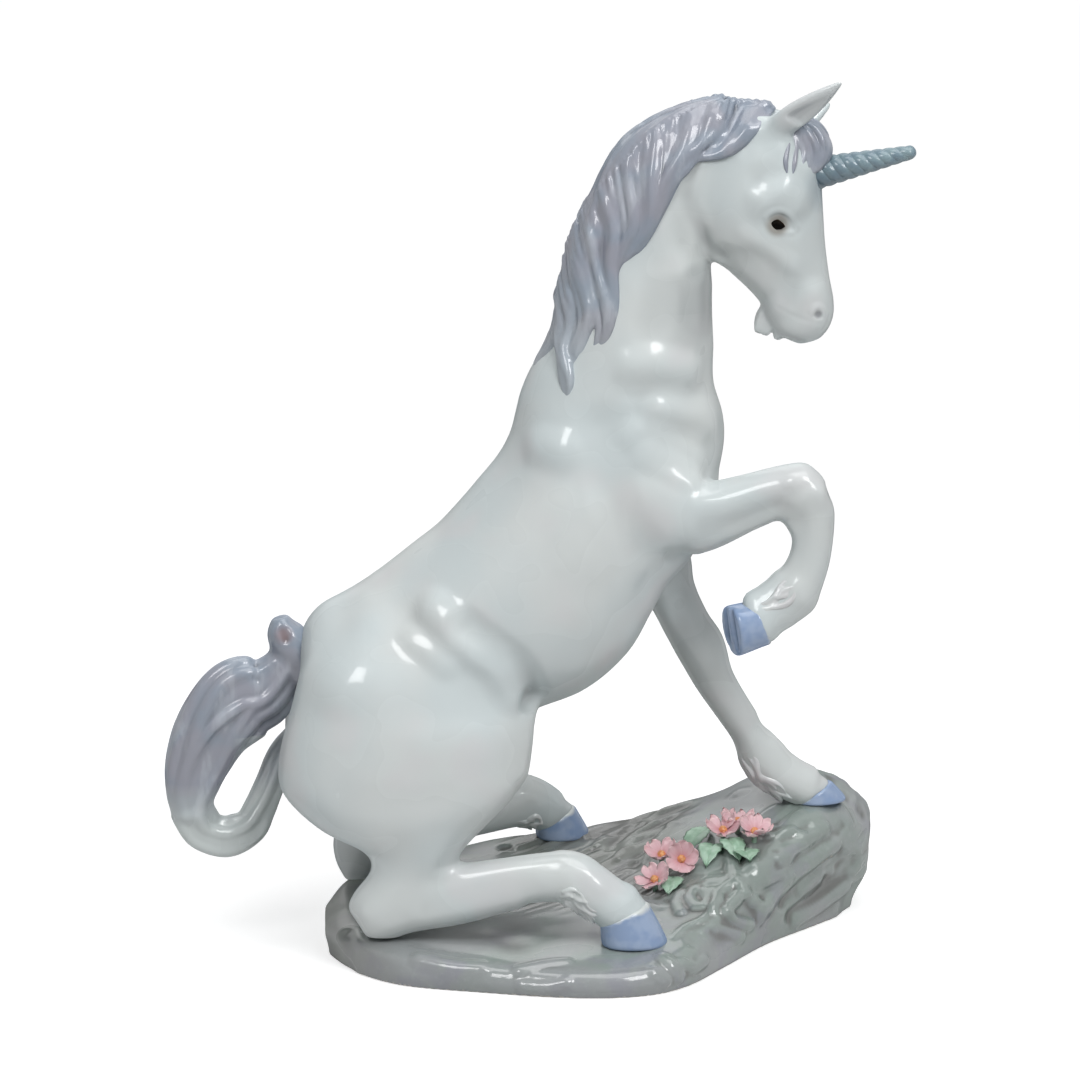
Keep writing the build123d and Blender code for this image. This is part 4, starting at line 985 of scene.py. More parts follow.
# Strokes in space: width, lift and path
SHAPE_STROKES = [
    (15, 1.5, [(35, -7, 158), (37, 0, 157), (35, 7, 158)]),
    (11, -0.8, [(35, -5, 173), (36, 0, 172), (35, 5, 173)]), (9, -2.4, [(69, -21, 150), (69.5, -21, 148)]),
    (17, (0.5, 0.7, 1.3, 1.8, 1.5, 1.3), [
        (-12, 0, 181), (-19, 0, 171), (-25, 0, 151), (-32, 0, 141), (-43, 0, 129), (-55, 0, 119),
    ]),
    (17, (1.3, 1.5, 1.9, 2.1), [(-55, 0, 119), (-66, 0, 112), (-77, 0, 105), (-83, 0, 97)]),
    (8, 1.4, [(-18.5, -18, 74), (-19, -19, 60)]),
    (7, 2.3, [(32, -17, 126), (45, -19, 132), (56, -21, 136)]),
    (6, 1.6, [(58.6, -21, 132), (58.9, -21, 128), (55.5, -21, 121)]),
    (6.5, 2, [(47, -21, 114), (51, -21, 117)]), (5, 1.7, [(45.5, -22, 112), (47, -23, 110)]),
    (6, 1.5, [(62, -21, 110), (58, -21, 106)]), (5, 1.1, [(12.2, -31, 25), (12.2, -27, 26)]),
]
FORELOCK_PATHS = [
    [(60.9, 247.4), (64.4, 245.6), (66.4, 242), (67, 237.8)],
    [(60, 246.8), (62.6, 243.8), (64.4, 240.2), (64.7, 236.3)],
    [(59.7, 246.5), (61.5, 242), (62.6, 237.8), (62.1, 232.4)],
    [(58.9, 246.2), (60.3, 242), (60.9, 237.2), (59.7, 231.8)],
    [(57.7, 245.6), (58.6, 240.8), (58.3, 235.4), (57.1, 228.8)],
    [(56.8, 244.4), (56.3, 240.2), (55.7, 235.4), (56.5, 230)],
]
ROCK_STROKES = [
    (2.8, 2, [(42, 30.6), (41.5, 25.8), (42.6, 21), (45.8, 16.8), (48.4, 13.8), (49.9, 9)]),
    (7, 2, [(33.1, 25.2), (36.8, 27), (40.3, 30)]), (6, 2.2, [(49.9, 23.4), (52.8, 25.2), (56.3, 27.6)]),
    (4.5, 1, [(35.1, 19.8), (38.9, 20.4)]), (4.5, 1, [(44.7, 22.8), (47, 25.2)]),
    (2.6, 2.4, [(26.7, 16.8), (25.2, 14.4), (26.4, 11.4)]),
    (2.6, 2.4, [(30.4, 18), (29, 15.3), (30.7, 12.9)]), (2.6, 2.4, [(35.7, 17.4), (37.4, 15), (36, 12.3)]),
    (2.2, 1.8, [(33.1, 17.7), (34.2, 15.3), (32.8, 12.9)]),
    (2.6, 2, [(42.6, 21), (38.3, 17.7), (35.7, 14.1)]), (2.6, 2, [(45.8, 16.8), (42, 14.1), (40, 12)]),
    (2.6, 2, [(48.4, 13.8), (52.2, 11.4)]), (2.6, 2, [(40, 12), (42.9, 9), (47, 7.2)]),
    (4, 2.2, [(71.9, 30.6), (62.3, 24), (55.1, 17.1), (50.8, 11.1)]),
    (3.6, -1.4, [(73.9, 27.6), (64.4, 19.8), (57.4, 13.2)]),
    (4, -1.5, [(76, 20.4), (66.7, 14.7), (59.4, 9.6)]), (3.4, 1.9, [(69, 35.4), (60.9, 30.6), (56.5, 27)]),
    (3, -1, [(64.4, 36), (59.4, 33), (55.1, 29.7)]), (4, -2.2, [(78.3, 24.9), (74.5, 23.7), (70.8, 21.6)]),
    (3.6, 2, [(75.4, 17.1), (68.1, 12), (60.9, 8.1)]), (3, 2, [(20.9, -1.2), (23.8, -3.6), (25.8, -7.2)]),
    (2.8, 1.9, [(27, -3.3), (30.2, -4.5), (33.3, -2.7)]), (2.8, 1.1, [(18.6, -5.7), (21.8, -8.1)]),
    (3, 1.4, [(-20.3, -4.8), (-13, -3), (-7, -2.4)]), (2.6, 1.3, [(-19.7, -9.6), (-13, -10.2), (-7, -8.7)]),
    (6, -1.3, [(31.9, 3), (40, 6.6), (44.7, 10.8), (46.4, 15)]),
    (2.8, -1.4, [(-25.2, 29.1), (-23.5, 29.1)]), (3.2, 1, [(15.1, 14.7), (20.9, 12.6)]),
    (3, 1.8, [(74.2, 41.4), (76.3, 37.8)]), (5, 1.2, [(31.9, 44.1), (38.3, 46.5), (44.7, 45.9)]),
    (5, -1.2, [(18.8, 39), (23.8, 40.2), (29, 42)]), (3, 1.1, [(4.1, 37.8), (-2.3, 33)]),
    (2.6, -1, [(7, 37.8), (1.7, 33)]), (3, 1.1, [(11.6, 38.4), (4.6, 31.8), (2.9, 30)]),
    (2.6, -1, [(14.5, 37.8), (8.7, 31.8), (6.4, 28.8)]),
    (3, 1.1, [(18.8, 36.6), (12.2, 30.6), (9.3, 25.8)]),
    (2.6, -1, [(21.5, 34.8), (15.9, 28.8), (13.3, 24)]), (3, 1, [(24.9, 36), (20.3, 31.2)]),
    (2.6, 0.9, [(55.1, 42), (50.8, 39)]), (2.6, -0.9, [(60.9, 42), (55.1, 37.8)]),
    (4, 1.3, [(-49.3, -1.8), (-40.6, -3.9), (-31.9, -4.2)]),
    (2.4, 1.6, [(53, 33.5), (58.5, 35), (62.5, 33.8)]), (2.6, 1.6, [(62, 17.5), (66, 20.5), (71, 23)]),
    (2.2, 1.5, [(52, 20), (55.5, 22), (59, 21.5)]), (2.4, 1.5, [(36.5, 7), (40.5, 5.5), (44.5, 3.5)]),
    (4, -0.8, [(-71, 5.1), (-69, 0), (-63.8, -3.9)]),
]
THROAT_REACH = 42.0
LOCK_SWEEP = 1.25
FOOT_HEIGHT = 5.22
# Shares of a hoof's height from the coronet to the sole, and its width there
HOOF_PROFILE = (
    (-0.06, 0.6), (-0.03, 0.88), (0.04, 1.02), (0.3, 1), (0.6, 1), (0.85, 1), (0.96, 0.985), (1, 0.93),
)


def rock_rings():
    """The rock's plain form: upright slices along its length, each a closed curve."""
    rows = flow(ROCK_ROWS, 14)
    x = ROCK_CORNER[0] + ROCK_SIZE[0] * rows[:, 0]
    front = ROCK_CORNER[1] + ROCK_SIZE[1] * rows[:, 1]
    back = ROCK_CORNER[1] + ROCK_SIZE[1] * rows[:, 2]
    low, middle, high = (ROCK_SIZE[2] * rows[:, k] for k in (3, 4, 5))
    width = back - front
    floor = np.full_like(x, -4.0)
    y = [front + 3, front, front + width * 0.09, front + width / 2, back - width * 0.09, back, back - 3]
    z = [floor, low / 2, low, middle, high, high / 2, floor]
    crown = np.stack([flow(np.stack([a, b], -1), 12) for a, b in zip(np.array(y).T, np.array(z).T)])
    base = np.linspace(0, 1, 40)[1:-1, None]
    under = crown[:, -1:] * (1 - base) + crown[:, :1] * base
    outline = np.concatenate([crown, under], 1)
    sides = outline.shape[1]
    return np.concatenate([np.repeat(x[:, None, None], sides, 1), outline], 2)


class Rings:
    """A closed surface through rings of any outline."""

    def __init__(self, rings):
        self.rings = rings

    def surface(self, sides=0):
        """The closed surface through the rings, which keep their own sides."""
        return closed(self.rings, self.rings[[0, -1]].mean(1))


def head_point(x_share, drop_share, side_share=0.0):
    """A point of the head, from the poll forwards, down and to the far side."""
    x, drop, side = (np.asarray(v, float)[..., None] for v in (x_share, drop_share, side_share))
    return POLL + FORWARD * HEAD_DEPTH * x - UP * HEAD_LENGTH * drop + SIDEWAYS * HEAD_BREADTH * side


def body_point(x_share, z_share, side_share=0.0):
    """A point of the body's side view."""
    shares = np.broadcast_arrays(*(np.asarray(v, float) for v in (x_share, side_share, z_share)))
    return BODY_CORNER + BODY_SIZE * np.stack(shares, -1)


def neck_point(x_share, z_share):
    """A point of the neck's side view."""
    x, z = np.asarray(x_share, float), np.asarray(z_share, float)
    return NECK_ROOT + NECK_SIZE * np.stack([x, 0 * x, z], -1)


def trunk_chords():
    """Back points, front points and half breadths of the trunk and neck."""
    body, neck = np.array(BODY_ROWS), np.array(NECK_ROWS)
    backs = np.concatenate([body_point(body[:, 0], body[:, 1]), neck_point(neck[:, 0], neck[:, 1])])
    fronts = np.concatenate([body_point(body[:, 2], body[:, 3]), neck_point(neck[:, 2], neck[:, 3])])
    halves = np.concatenate([body[:, 4] * BODY_SIZE[1], neck[:, 4] * NECK_SIZE[1]])
    return backs, fronts, halves


def trunk_roll(first=0):
    """The trunk and the neck in one roll, from a chosen row on."""
    rows = flow(np.column_stack(trunk_chords()), 12)[first * 12 :]
    return chord_roll(rows[:, :3], rows[:, 3:6], rows[:, 6])


def haunch_roll(rows):
    """A folded hind leg, from the flank down to the hock."""
    r = flow(rows, 12)
    backs, fronts = body_point(r[:, 0], r[:, 1], r[:, 4]), body_point(r[:, 2], r[:, 3], r[:, 4])
    return chord_roll(backs, fronts, r[:, 5] * BODY_SIZE[1])


def hock_of(rows):
    """The centre of a folded leg's hock."""
    a, b, c, d, side, _ = rows[-3]
    return (body_point(a, b, side) + body_point(c, d, side)) / 2


NEAR_HOCK = hock_of(NEAR_HAUNCH_ROWS)
FAR_HOCK = hock_of(FAR_HAUNCH_ROWS)
NEAR_SHANK_SPAN = np.array([66.0, -5.0, 10.0])
FAR_SHANK_SPAN = np.array([53.5, 22.0, 8.0])
NEAR_SHOULDER = body_point(0.888, 0.727, -0.25)
FOREARM_SPAN = np.array([50.0, -6.0, 10.0])
NEAR_KNEE = NEAR_SHOULDER + FOREARM_SPAN * [0.9, 1.0, 0.5]
CANNON_SPAN = np.array([-12.0, 0.0, -40.0])
FAR_SHOULDER = body_point(0.853, 0.673, 0.233)


def head_roll():
    """The head in one roll, from the poll to the lips."""
    r = flow(HEAD_ROWS, 12)
    backs, fronts = head_point(r[:, 0], r[:, 1]), head_point(r[:, 2], r[:, 3])
    return chord_roll(backs, fronts, HEAD_BREADTH * r[:, 4], SIDEWAYS)


class Figure:
    """The clay that later pieces are laid on, kept while the figure is made."""

    rock = None
    eye = None

    @classmethod
    def eye_seat(cls, side):
        """The centre of the near eye, or of the far one."""
        if cls.eye is None:
            raise RuntimeError("no place for the eye was found on the head")
        return cls.eye - SIDEWAYS * 2 * side * ((cls.eye - POLL) @ SIDEWAYS)

    @classmethod
    def rock_top(cls, x, y):
        """The height of the rock's surface over one place."""
        top = cls.rock.land((x, y, 44.0), (0, 0, -1), 60)
        return 0.0 if top is None else top[2]

    @classmethod
    def rock_spot(cls, x_share, y_share):
        """A point of the rock's surface from shares of its length and depth."""
        x, y = ROCK_CORNER[:2] + ROCK_SIZE[:2] * (x_share, y_share)
        return np.array([x, y, cls.rock_top(x, y)])

    @classmethod
    def limbs(cls):
        """The legs' rolls, each with the width of the fillet at its root."""
        foot = FAR_SHOULDER + [50.0, 20.0, 0.0]
        foot[2] = cls.rock_top(foot[0], foot[1]) + FOOT_HEIGHT
        return {
            "near_haunch": (haunch_roll(NEAR_HAUNCH_ROWS), 7.0),
            "far_haunch": (haunch_roll(FAR_HAUNCH_ROWS), 7.0),
            "near_shank": (limb(NEAR_HOCK, NEAR_SHANK_SPAN, 16.0, NEAR_SHANK_ROWS), 4.5),
            "far_shank": (limb(FAR_HOCK, FAR_SHANK_SPAN, 15.0, FAR_SHANK_ROWS), 4.5),
            "near_forearm": (limb(NEAR_SHOULDER, FOREARM_SPAN, 30.0, FOREARM_ROWS), 7.5),
            "near_cannon": (limb(NEAR_KNEE, CANNON_SPAN, 14.0, CANNON_ROWS), 3.0),
            "far_foreleg": (limb(FAR_SHOULDER, foot - FAR_SHOULDER, 20.0, FAR_FORELEG_ROWS), 6.0),
        }


def hoof_rings(ankle, heading, size):
    """Rings from the coronet to the sole, and the sole's centre, toe and side directions."""
    if heading is None:
        top, toe_up = ankle + [1.3, 0.0, 0.4], normal(np.array([0.305, 0.0, -0.952]))
        out = normal(np.array([-0.92, -0.38, -0.12]))
        base = ankle + [-8.4, -1.3, -2.2]
        toe = np.array([0.10, 0.0, -0.99])
        toe = normal(toe - out * (toe @ out))
        side, side_up = np.cross(out, toe), FAR
        side = side * np.sign(side @ side_up)
        halves = (7.1, 6.7), (8.2, 7.2)
    else:
        toe = normal(np.array([*heading, 0.0]))
        side = np.cross(UP, toe)
        side_up = side
        toe_up = normal(toe * 0.917 + UP * 0.40)
        top = ankle + toe * 0.9 - UP * 1.0
        base = ankle + toe * 3.7 * size
        base[2] = Figure.rock_top(base[0], base[1]) - 0.3
        halves = (7.3 * size, 6.5 * size), (9.7 * size, 7.3 * size)
    angle = np.arange(72) * math.tau / 72
    heel = 1 - 0.16 * np.clip(-np.cos(angle), 0, 1) ** 2
    rings = []
    for t, grow in HOOF_PROFILE:
        share = np.clip(t, 0, 1)
        centre = top + (base - top) * t
        front = normal(toe_up * (1 - share) + toe * share)
        across = normal(side_up * (1 - share) + side * share)
        deep, broad = (np.array(halves[0]) * (1 - share) + np.array(halves[1]) * share) * grow
        ring = front * (np.cos(angle) * deep * heel)[:, None] + across * (np.sin(angle) * broad)[:, None]
        rings.append(centre + ring)
    return np.array(rings), (base, toe, side)


def pastern(roll, heading, size):
    """The last of a leg, which runs from the fetlock into the hoof's coronet."""
    rings, _ = hoof_rings(roll.centres[-1], heading, size)
    coronet, below = rings[2], rings[3]
    middle = coronet.mean(0)
    toe = coronet[0] - middle
    count = coronet.shape[0]
    angle = np.arange(count) * math.tau / count
    start = -13
    deep = roll.deep[start] * np.sign(roll.deep[start] @ toe)
    broad = roll.broad[start] * np.sign(roll.broad[start] @ (coronet[count // 4] - middle))
    upper = deep * roll.half_deep[start] * np.cos(angle)[:, None]
    upper = roll.centres[start] + 0.9 * (upper + broad * roll.half_broad[start] * np.sin(angle)[:, None])
    lower = middle + (coronet - middle) * 0.955
    steps = np.linspace(0, 1, 14)[:, None, None]
    body = upper + (lower - upper) * (steps**2 * (3 - 2 * steps))
    inside = middle + (below.mean(0) - middle) * 0.5 + (coronet - middle) * 0.9
    return Rings(np.concatenate([body, inside[None]]))


def painted_shade(points, outward):
    """Painted shade under the throat, on the far elbow and hock, the rump and the knee: a share that darkens
    the glaze where shadow would fall.
    """
    x, y, z = points.T
    front = outward[:, 0]
    throat = ramp(front, -0.15, 0.75) * ramp(z, 174, 194) * ramp(x, 37, 34) * ramp(z, 209, 205)
    elbow = ramp(y, 6, 12) * ramp(x, 22, 28) * ramp(x, 68, 62) * ramp(z, 78, 94) * ramp(z, 132, 120)
    hock = ramp(y, 6, 12) * ramp(z, 34, 26) * ramp(x, -30, -38)
    rump = ramp(x, -66, -74) * ramp(front, -0.55, -0.95)
    knee = ramp(x, 62, 67) * ramp(z, 112, 118) * ramp(front, 0.35, 0.85)
    return throat * 0.60 + elbow * 0.60 + hock * 0.45 + rump * 0.25 + knee * 0.25


def above_throat(points):
    """The height over the plane at which the head's casting meets the body's."""
    back, front = neck_point(0.160, 0.260), neck_point(0.823, 0.225)
    across = normal(front - back)
    height = (points[:, 2] - back[2]) * across[0] - (points[:, 0] - back[0]) * across[2]
    return np.where(points[:, 0] < THROAT_REACH, height, 50.0)


def below_throat(points):
    """The depth under the same plane."""
    return np.where(points[:, 0] < THROAT_REACH, -above_throat(points), 50.0)


def mirrored(clay, spot, mirror):
    """A spot's twin on the far side of the head or of the body, or None."""
    if mirror == "head":
        return clay.land(spot + SIDEWAYS * (60 - (spot - POLL) @ SIDEWAYS), -SIDEWAYS, 90)
    return clay.land(spot * [1, 0, 1] + FAR * 60, -FAR, 90)


def model(clay, strokes, mirror="body"):
    """Raises and presses muscles that a viewer sees, and where there is a mirror their twins."""
    for width, lift, path in strokes:
        near = [clay.seen(*place) for place in path]
        near = [spot for spot in near if spot is not None]
        if near:
            clay.stroke(near, width, lift)
        far = [mirrored(clay, spot, mirror) for spot in near if mirror]
        far = [spot for spot in far if spot is not None]
        if far:
            clay.stroke(far, width, lift)


class UNICORN_OT_rock(bpy.types.Operator):
    """The rock, with its ridges, relief leaves and unglazed foot"""

    bl_idname = "unicorn.rock"
    bl_label = "Rock"

    def execute(self, context):
        sizes = context.scene.unicorn_sizes
        high = ROCK_CORNER + ROCK_SIZE + [3, 3, 4]
        clay = Clay(ROCK_CORNER - [3, 3, 5], high, sizes.rock_step / MILLIMETRE, 3.0)
        clay.add(Rings(rock_rings()))
        clay.stroke([(79.0, 30.0, 20.0), (80.0, 55.0, 24.0)], 15, 2.6)
        clay.stroke([(80.0, 36.0, 1.0), (81.0, 50.0, 1.0), (80.0, 66.0, 1.0)], 10, -3.2)
        clay.stroke([(-74.0, -22.0, 0.0), (-79.0, -4.0, 0.0), (-78.0, 16.0, 0.0)], 8, -2.4)
        clay.soften(3)
        Figure.rock = clay
        for path in VINE_PATHS.values():
            spots = [Figure.rock_spot(*place) for place in path]
            clay.stroke(spots, 2.2, (0.5, 1.3, 1.3, 1.2, 0.5))
        model(clay, ROCK_STROKES, None)
        x, y, z = clay.axes(tuple(slice(0, n) for n in clay.counts))
        clay.field = np.maximum(clay.field, 0.02 - z)
        vent = np.hypot(np.hypot(x + 22, y) / 3.0, np.maximum(z, 0) / 7.0)
        clay.field = np.maximum(clay.field, (1 - vent) * 3).astype(np.float32)
        points, quads, outward = clay.skin()
        x, y, z = points.T
        back = ramp(x, -30, -18) * ramp(x, 34, 24) * ramp(y, -6, 6)
        flank = ramp(x, 44, 54) * ramp(z, 5, 13)
        turned = points @ np.array([[0.80, -0.60, 0], [0.60, 0.80, 0], [0, 0, 1.0]])
        slant = points @ np.array([[0.80, 0, -0.60], [0, 1, 0], [0.60, 0, 0.80]])
        ridge = noise(turned, (20, 2.6, 6), 3) + 0.5 * noise(turned, (10, 1.5, 3), 4)
        grain = noise(slant, (16, 9, 2.4), 8) + 0.5 * noise(slant, (8, 5, 1.3), 9)
        lump = noise(points, (19, 19, 14), 6) + 0.5 * noise(points, (9, 9, 7), 7)
        relief = ridge * back * 0.75 + grain * flank * 0.45 + lump * 0.45
        points += outward * (relief * ramp(z, 0, 4))[:, None]
        groove = -ridge * back * 0.35 - grain * flank * 0.10
        # Painted shade: the rock's left end is darkened towards the brown of the back.
        left_end_shade = np.clip((-54 - points[:, 0]) / 22, 0, 0.8)
        piece = make_object(
            "rock_piece", points, quads,
            crease=clay.grooves(points, 2.4, 1.2, groove),
            bark=np.clip(back * (0.75 + 0.25 * ridge) + left_end_shade, 0, 1) * 0.8,
            leafy=np.clip(1.5 - np.hypot((x - 40) / 17, (z + 0.268 * y - 26) / 10), 0, 1) * 0.75,
            foot=(outward[:, 2] < -0.7) * 1.0,
        )
        finish_piece(piece, rock_glaze(context.scene.unicorn_colours), "base_glaze", "base_rock", *VINE_PATHS)
        return {"FINISHED"}


class UNICORN_OT_body(bpy.types.Operator):
    """The porcelain body: trunk, neck, haunches and legs in one skin"""

    bl_idname = "unicorn.body"
    bl_label = "Body"

    def execute(self, context):
        sizes = context.scene.unicorn_sizes
        clay = Clay(*BODY_BOX, sizes.body_step / MILLIMETRE, 8.0)
        clay.add(trunk_roll(), sides=220)
        limbs = Figure.limbs()
        for roll, melt in limbs.values():
            clay.add(roll, melt, 140)
        calf = flow(CALF_ROWS, 10)
        clay.add(path_roll(calf[:, :3], calf[:, 3]), 5.0)
        for leg, heading, size, _, _ in FOOT_PLANS.values():
            clay.add(pastern(limbs[leg][0], heading, size), 2.5)
        for width, lift, path in SHAPE_STROKES:
            clay.stroke(path, width, lift)
        model(clay, NECK_STROKES + BODY_STROKES)
        clay.soften(1)
        points, quads, triangles, outward = trim(clay, *clay.skin(), below_throat)
        blank = np.zeros(len(points))
        piece = make_object(
            "body_piece", points, quads, triangles, outward=outward,
            # The crease mark here also carries painted shade under the throat, on the far elbow and hock, the
            # rump and the knee.
            crease=clay.grooves(points, 3.4, 1.6, painted_shade(points, outward)),
            halo=blank, lid=blank, nostril=blank,
        )
        glaze = porcelain_glaze(context.scene.unicorn_colours)
        finish_piece(piece, glaze, "body_glaze", "trunk", "neck", *limbs)
        return {"FINISHED"}


class UNICORN_OT_head(bpy.types.Operator):
    """The head, with its ears, jaw, lips, nostrils, eyelids and beard"""

    bl_idname = "unicorn.head"
    bl_label = "Head"

    def execute(self, context):
        sizes = context.scene.unicorn_sizes
        clay = Clay(*HEAD_BOX, sizes.head_step / MILLIMETRE, 4.0)
        clay.add(trunk_roll(11), sides=300)
        clay.add(head_roll(), 3.6, 240)
        model(clay, NECK_STROKES)
        model(clay, HEAD_STROKES, "head")
        clay.stroke(JAW_PATH, 8.0, -1.9)
        self.add_ears(clay)
        Figure.eye = clay.seen(*EYE_PLACE)
        clay.soften(2)
        model(clay, FACE_STROKES, "head")
        self.add_beard(clay)
        clay.soften(1)
        points, quads, triangles, outward = trim(clay, *clay.skin(), above_throat)
        eyes = np.minimum(*(self.reach(points, Figure.eye_seat(side)) for side in (0, 1)))
        nostrils = self.sides(clay.seen(*NOSTRIL_PLACE))
        nostrils = np.minimum(*(self.reach(points, spot, 1.0) for spot in nostrils))
        horn = self.reach(points, head_point(0.62, 0.325), 7.6)
        piece = make_object(
            "head_piece", points, quads, triangles, outward=outward,
            # The crease mark here also carries painted shade under the throat.
            crease=clay.grooves(points, 3.4, 1.6, painted_shade(points, outward)),
            halo=np.clip(1.25 - horn, 0, 1) * 0.8,
            lid=np.clip((1.35 - eyes) / 0.6, 0, 1) ** 1.5 * 0.6,
            nostril=np.clip((1.6 - nostrils) * 1.2, 0, 1) * 0.8,
        )
        nodes = ("head", "near_ear", "far_ear", "beard")
        finish_piece(piece, porcelain_glaze(context.scene.unicorn_colours), "body_glaze", *nodes)
        return {"FINISHED"}

    def reach(self, points, centre, size=3.3):
        """The distance from a centre as a share of a size."""
        return np.linalg.norm(points - centre, axis=1) / size

    def sides(self, spot):
        """A spot of the near cheek and the same on the far one."""
        return spot, spot - SIDEWAYS * 2 * ((spot - POLL) @ SIDEWAYS)

    def add_ears(self, clay):
        """Two cupped ears with folds inside."""
        near, far = head_point(0.40, 0.080, -0.26), head_point(0.42, 0.110, 0.24)
        for hand, seat, reach, rise in ((-1, near, 19.6, 15.6), (1, far, 12.6, 6.2)):
            way = FORWARD * reach + UP * rise + SIDEWAYS * 5 * hand
            heading = normal(way)
            across = normal(np.cross(heading, SIDEWAYS * hand + FORWARD))
            face = normal(np.cross(across, heading))
            rows = flow(EAR_ROWS, 10)
            centres = seat + way * rows[:, :1]
            tile = len(rows), 1
            across, face = np.tile(across, tile), np.tile(face, tile)
            clay.add(Roll(centres, across, face, EAR_BREADTH * rows[:, 1], EAR_DEPTH * rows[:, 2]), 2.6)
            hollow = np.maximum(EAR_BREADTH * rows[:, 1] - 1.2, 0.3)
            depth = np.maximum(EAR_DEPTH * rows[:, 2] - 0.4, 0.25)
            scoop = (centres + face * 2.3, across, face, hollow, depth)
            clay.add(Roll(*(part[16:] for part in scoop)), 0.8, sign=-1)
            for offset in (-0.45, 0.05, 0.5):
                path = centres[18:44:3] + across[18:44:3] * (hollow[18:44:3] * offset)[:, None]
                floor = face[18:44:3] * (2.3 - depth[18:44:3] * math.sqrt(1 - offset**2))[:, None]
                clay.stroke(path + floor, (1.1, 0.6), 0.42, 4)

    def add_beard(self, clay):
        """A flat tuft of short strands under the chin."""
        random = np.random.default_rng(8)
        for u in np.linspace(0, 1, 7):
            for side in (-0.07, 0.0, 0.07):
                root = head_point(0.34 + 0.16 * u, 0.83 + 0.09 * u, side)
                tip = head_point(0.24 + 0.17 * u, 0.955 + 0.03 * u - 0.045 * (0.55 < u < 0.8), side * 1.3)
                t = np.linspace(0, 1, 14)[:, None]
                bend = -FORWARD * np.sin(np.pi * t) * random.uniform(0.4, 1.1)
                path = root + (tip - root) * t + bend
                girth = np.interp(t[:, 0], [0, 0.4, 0.8, 1], [1.5, 1.3, 0.85, 0.35])
                clay.add(path_roll(path, girth), 0.9, 20)


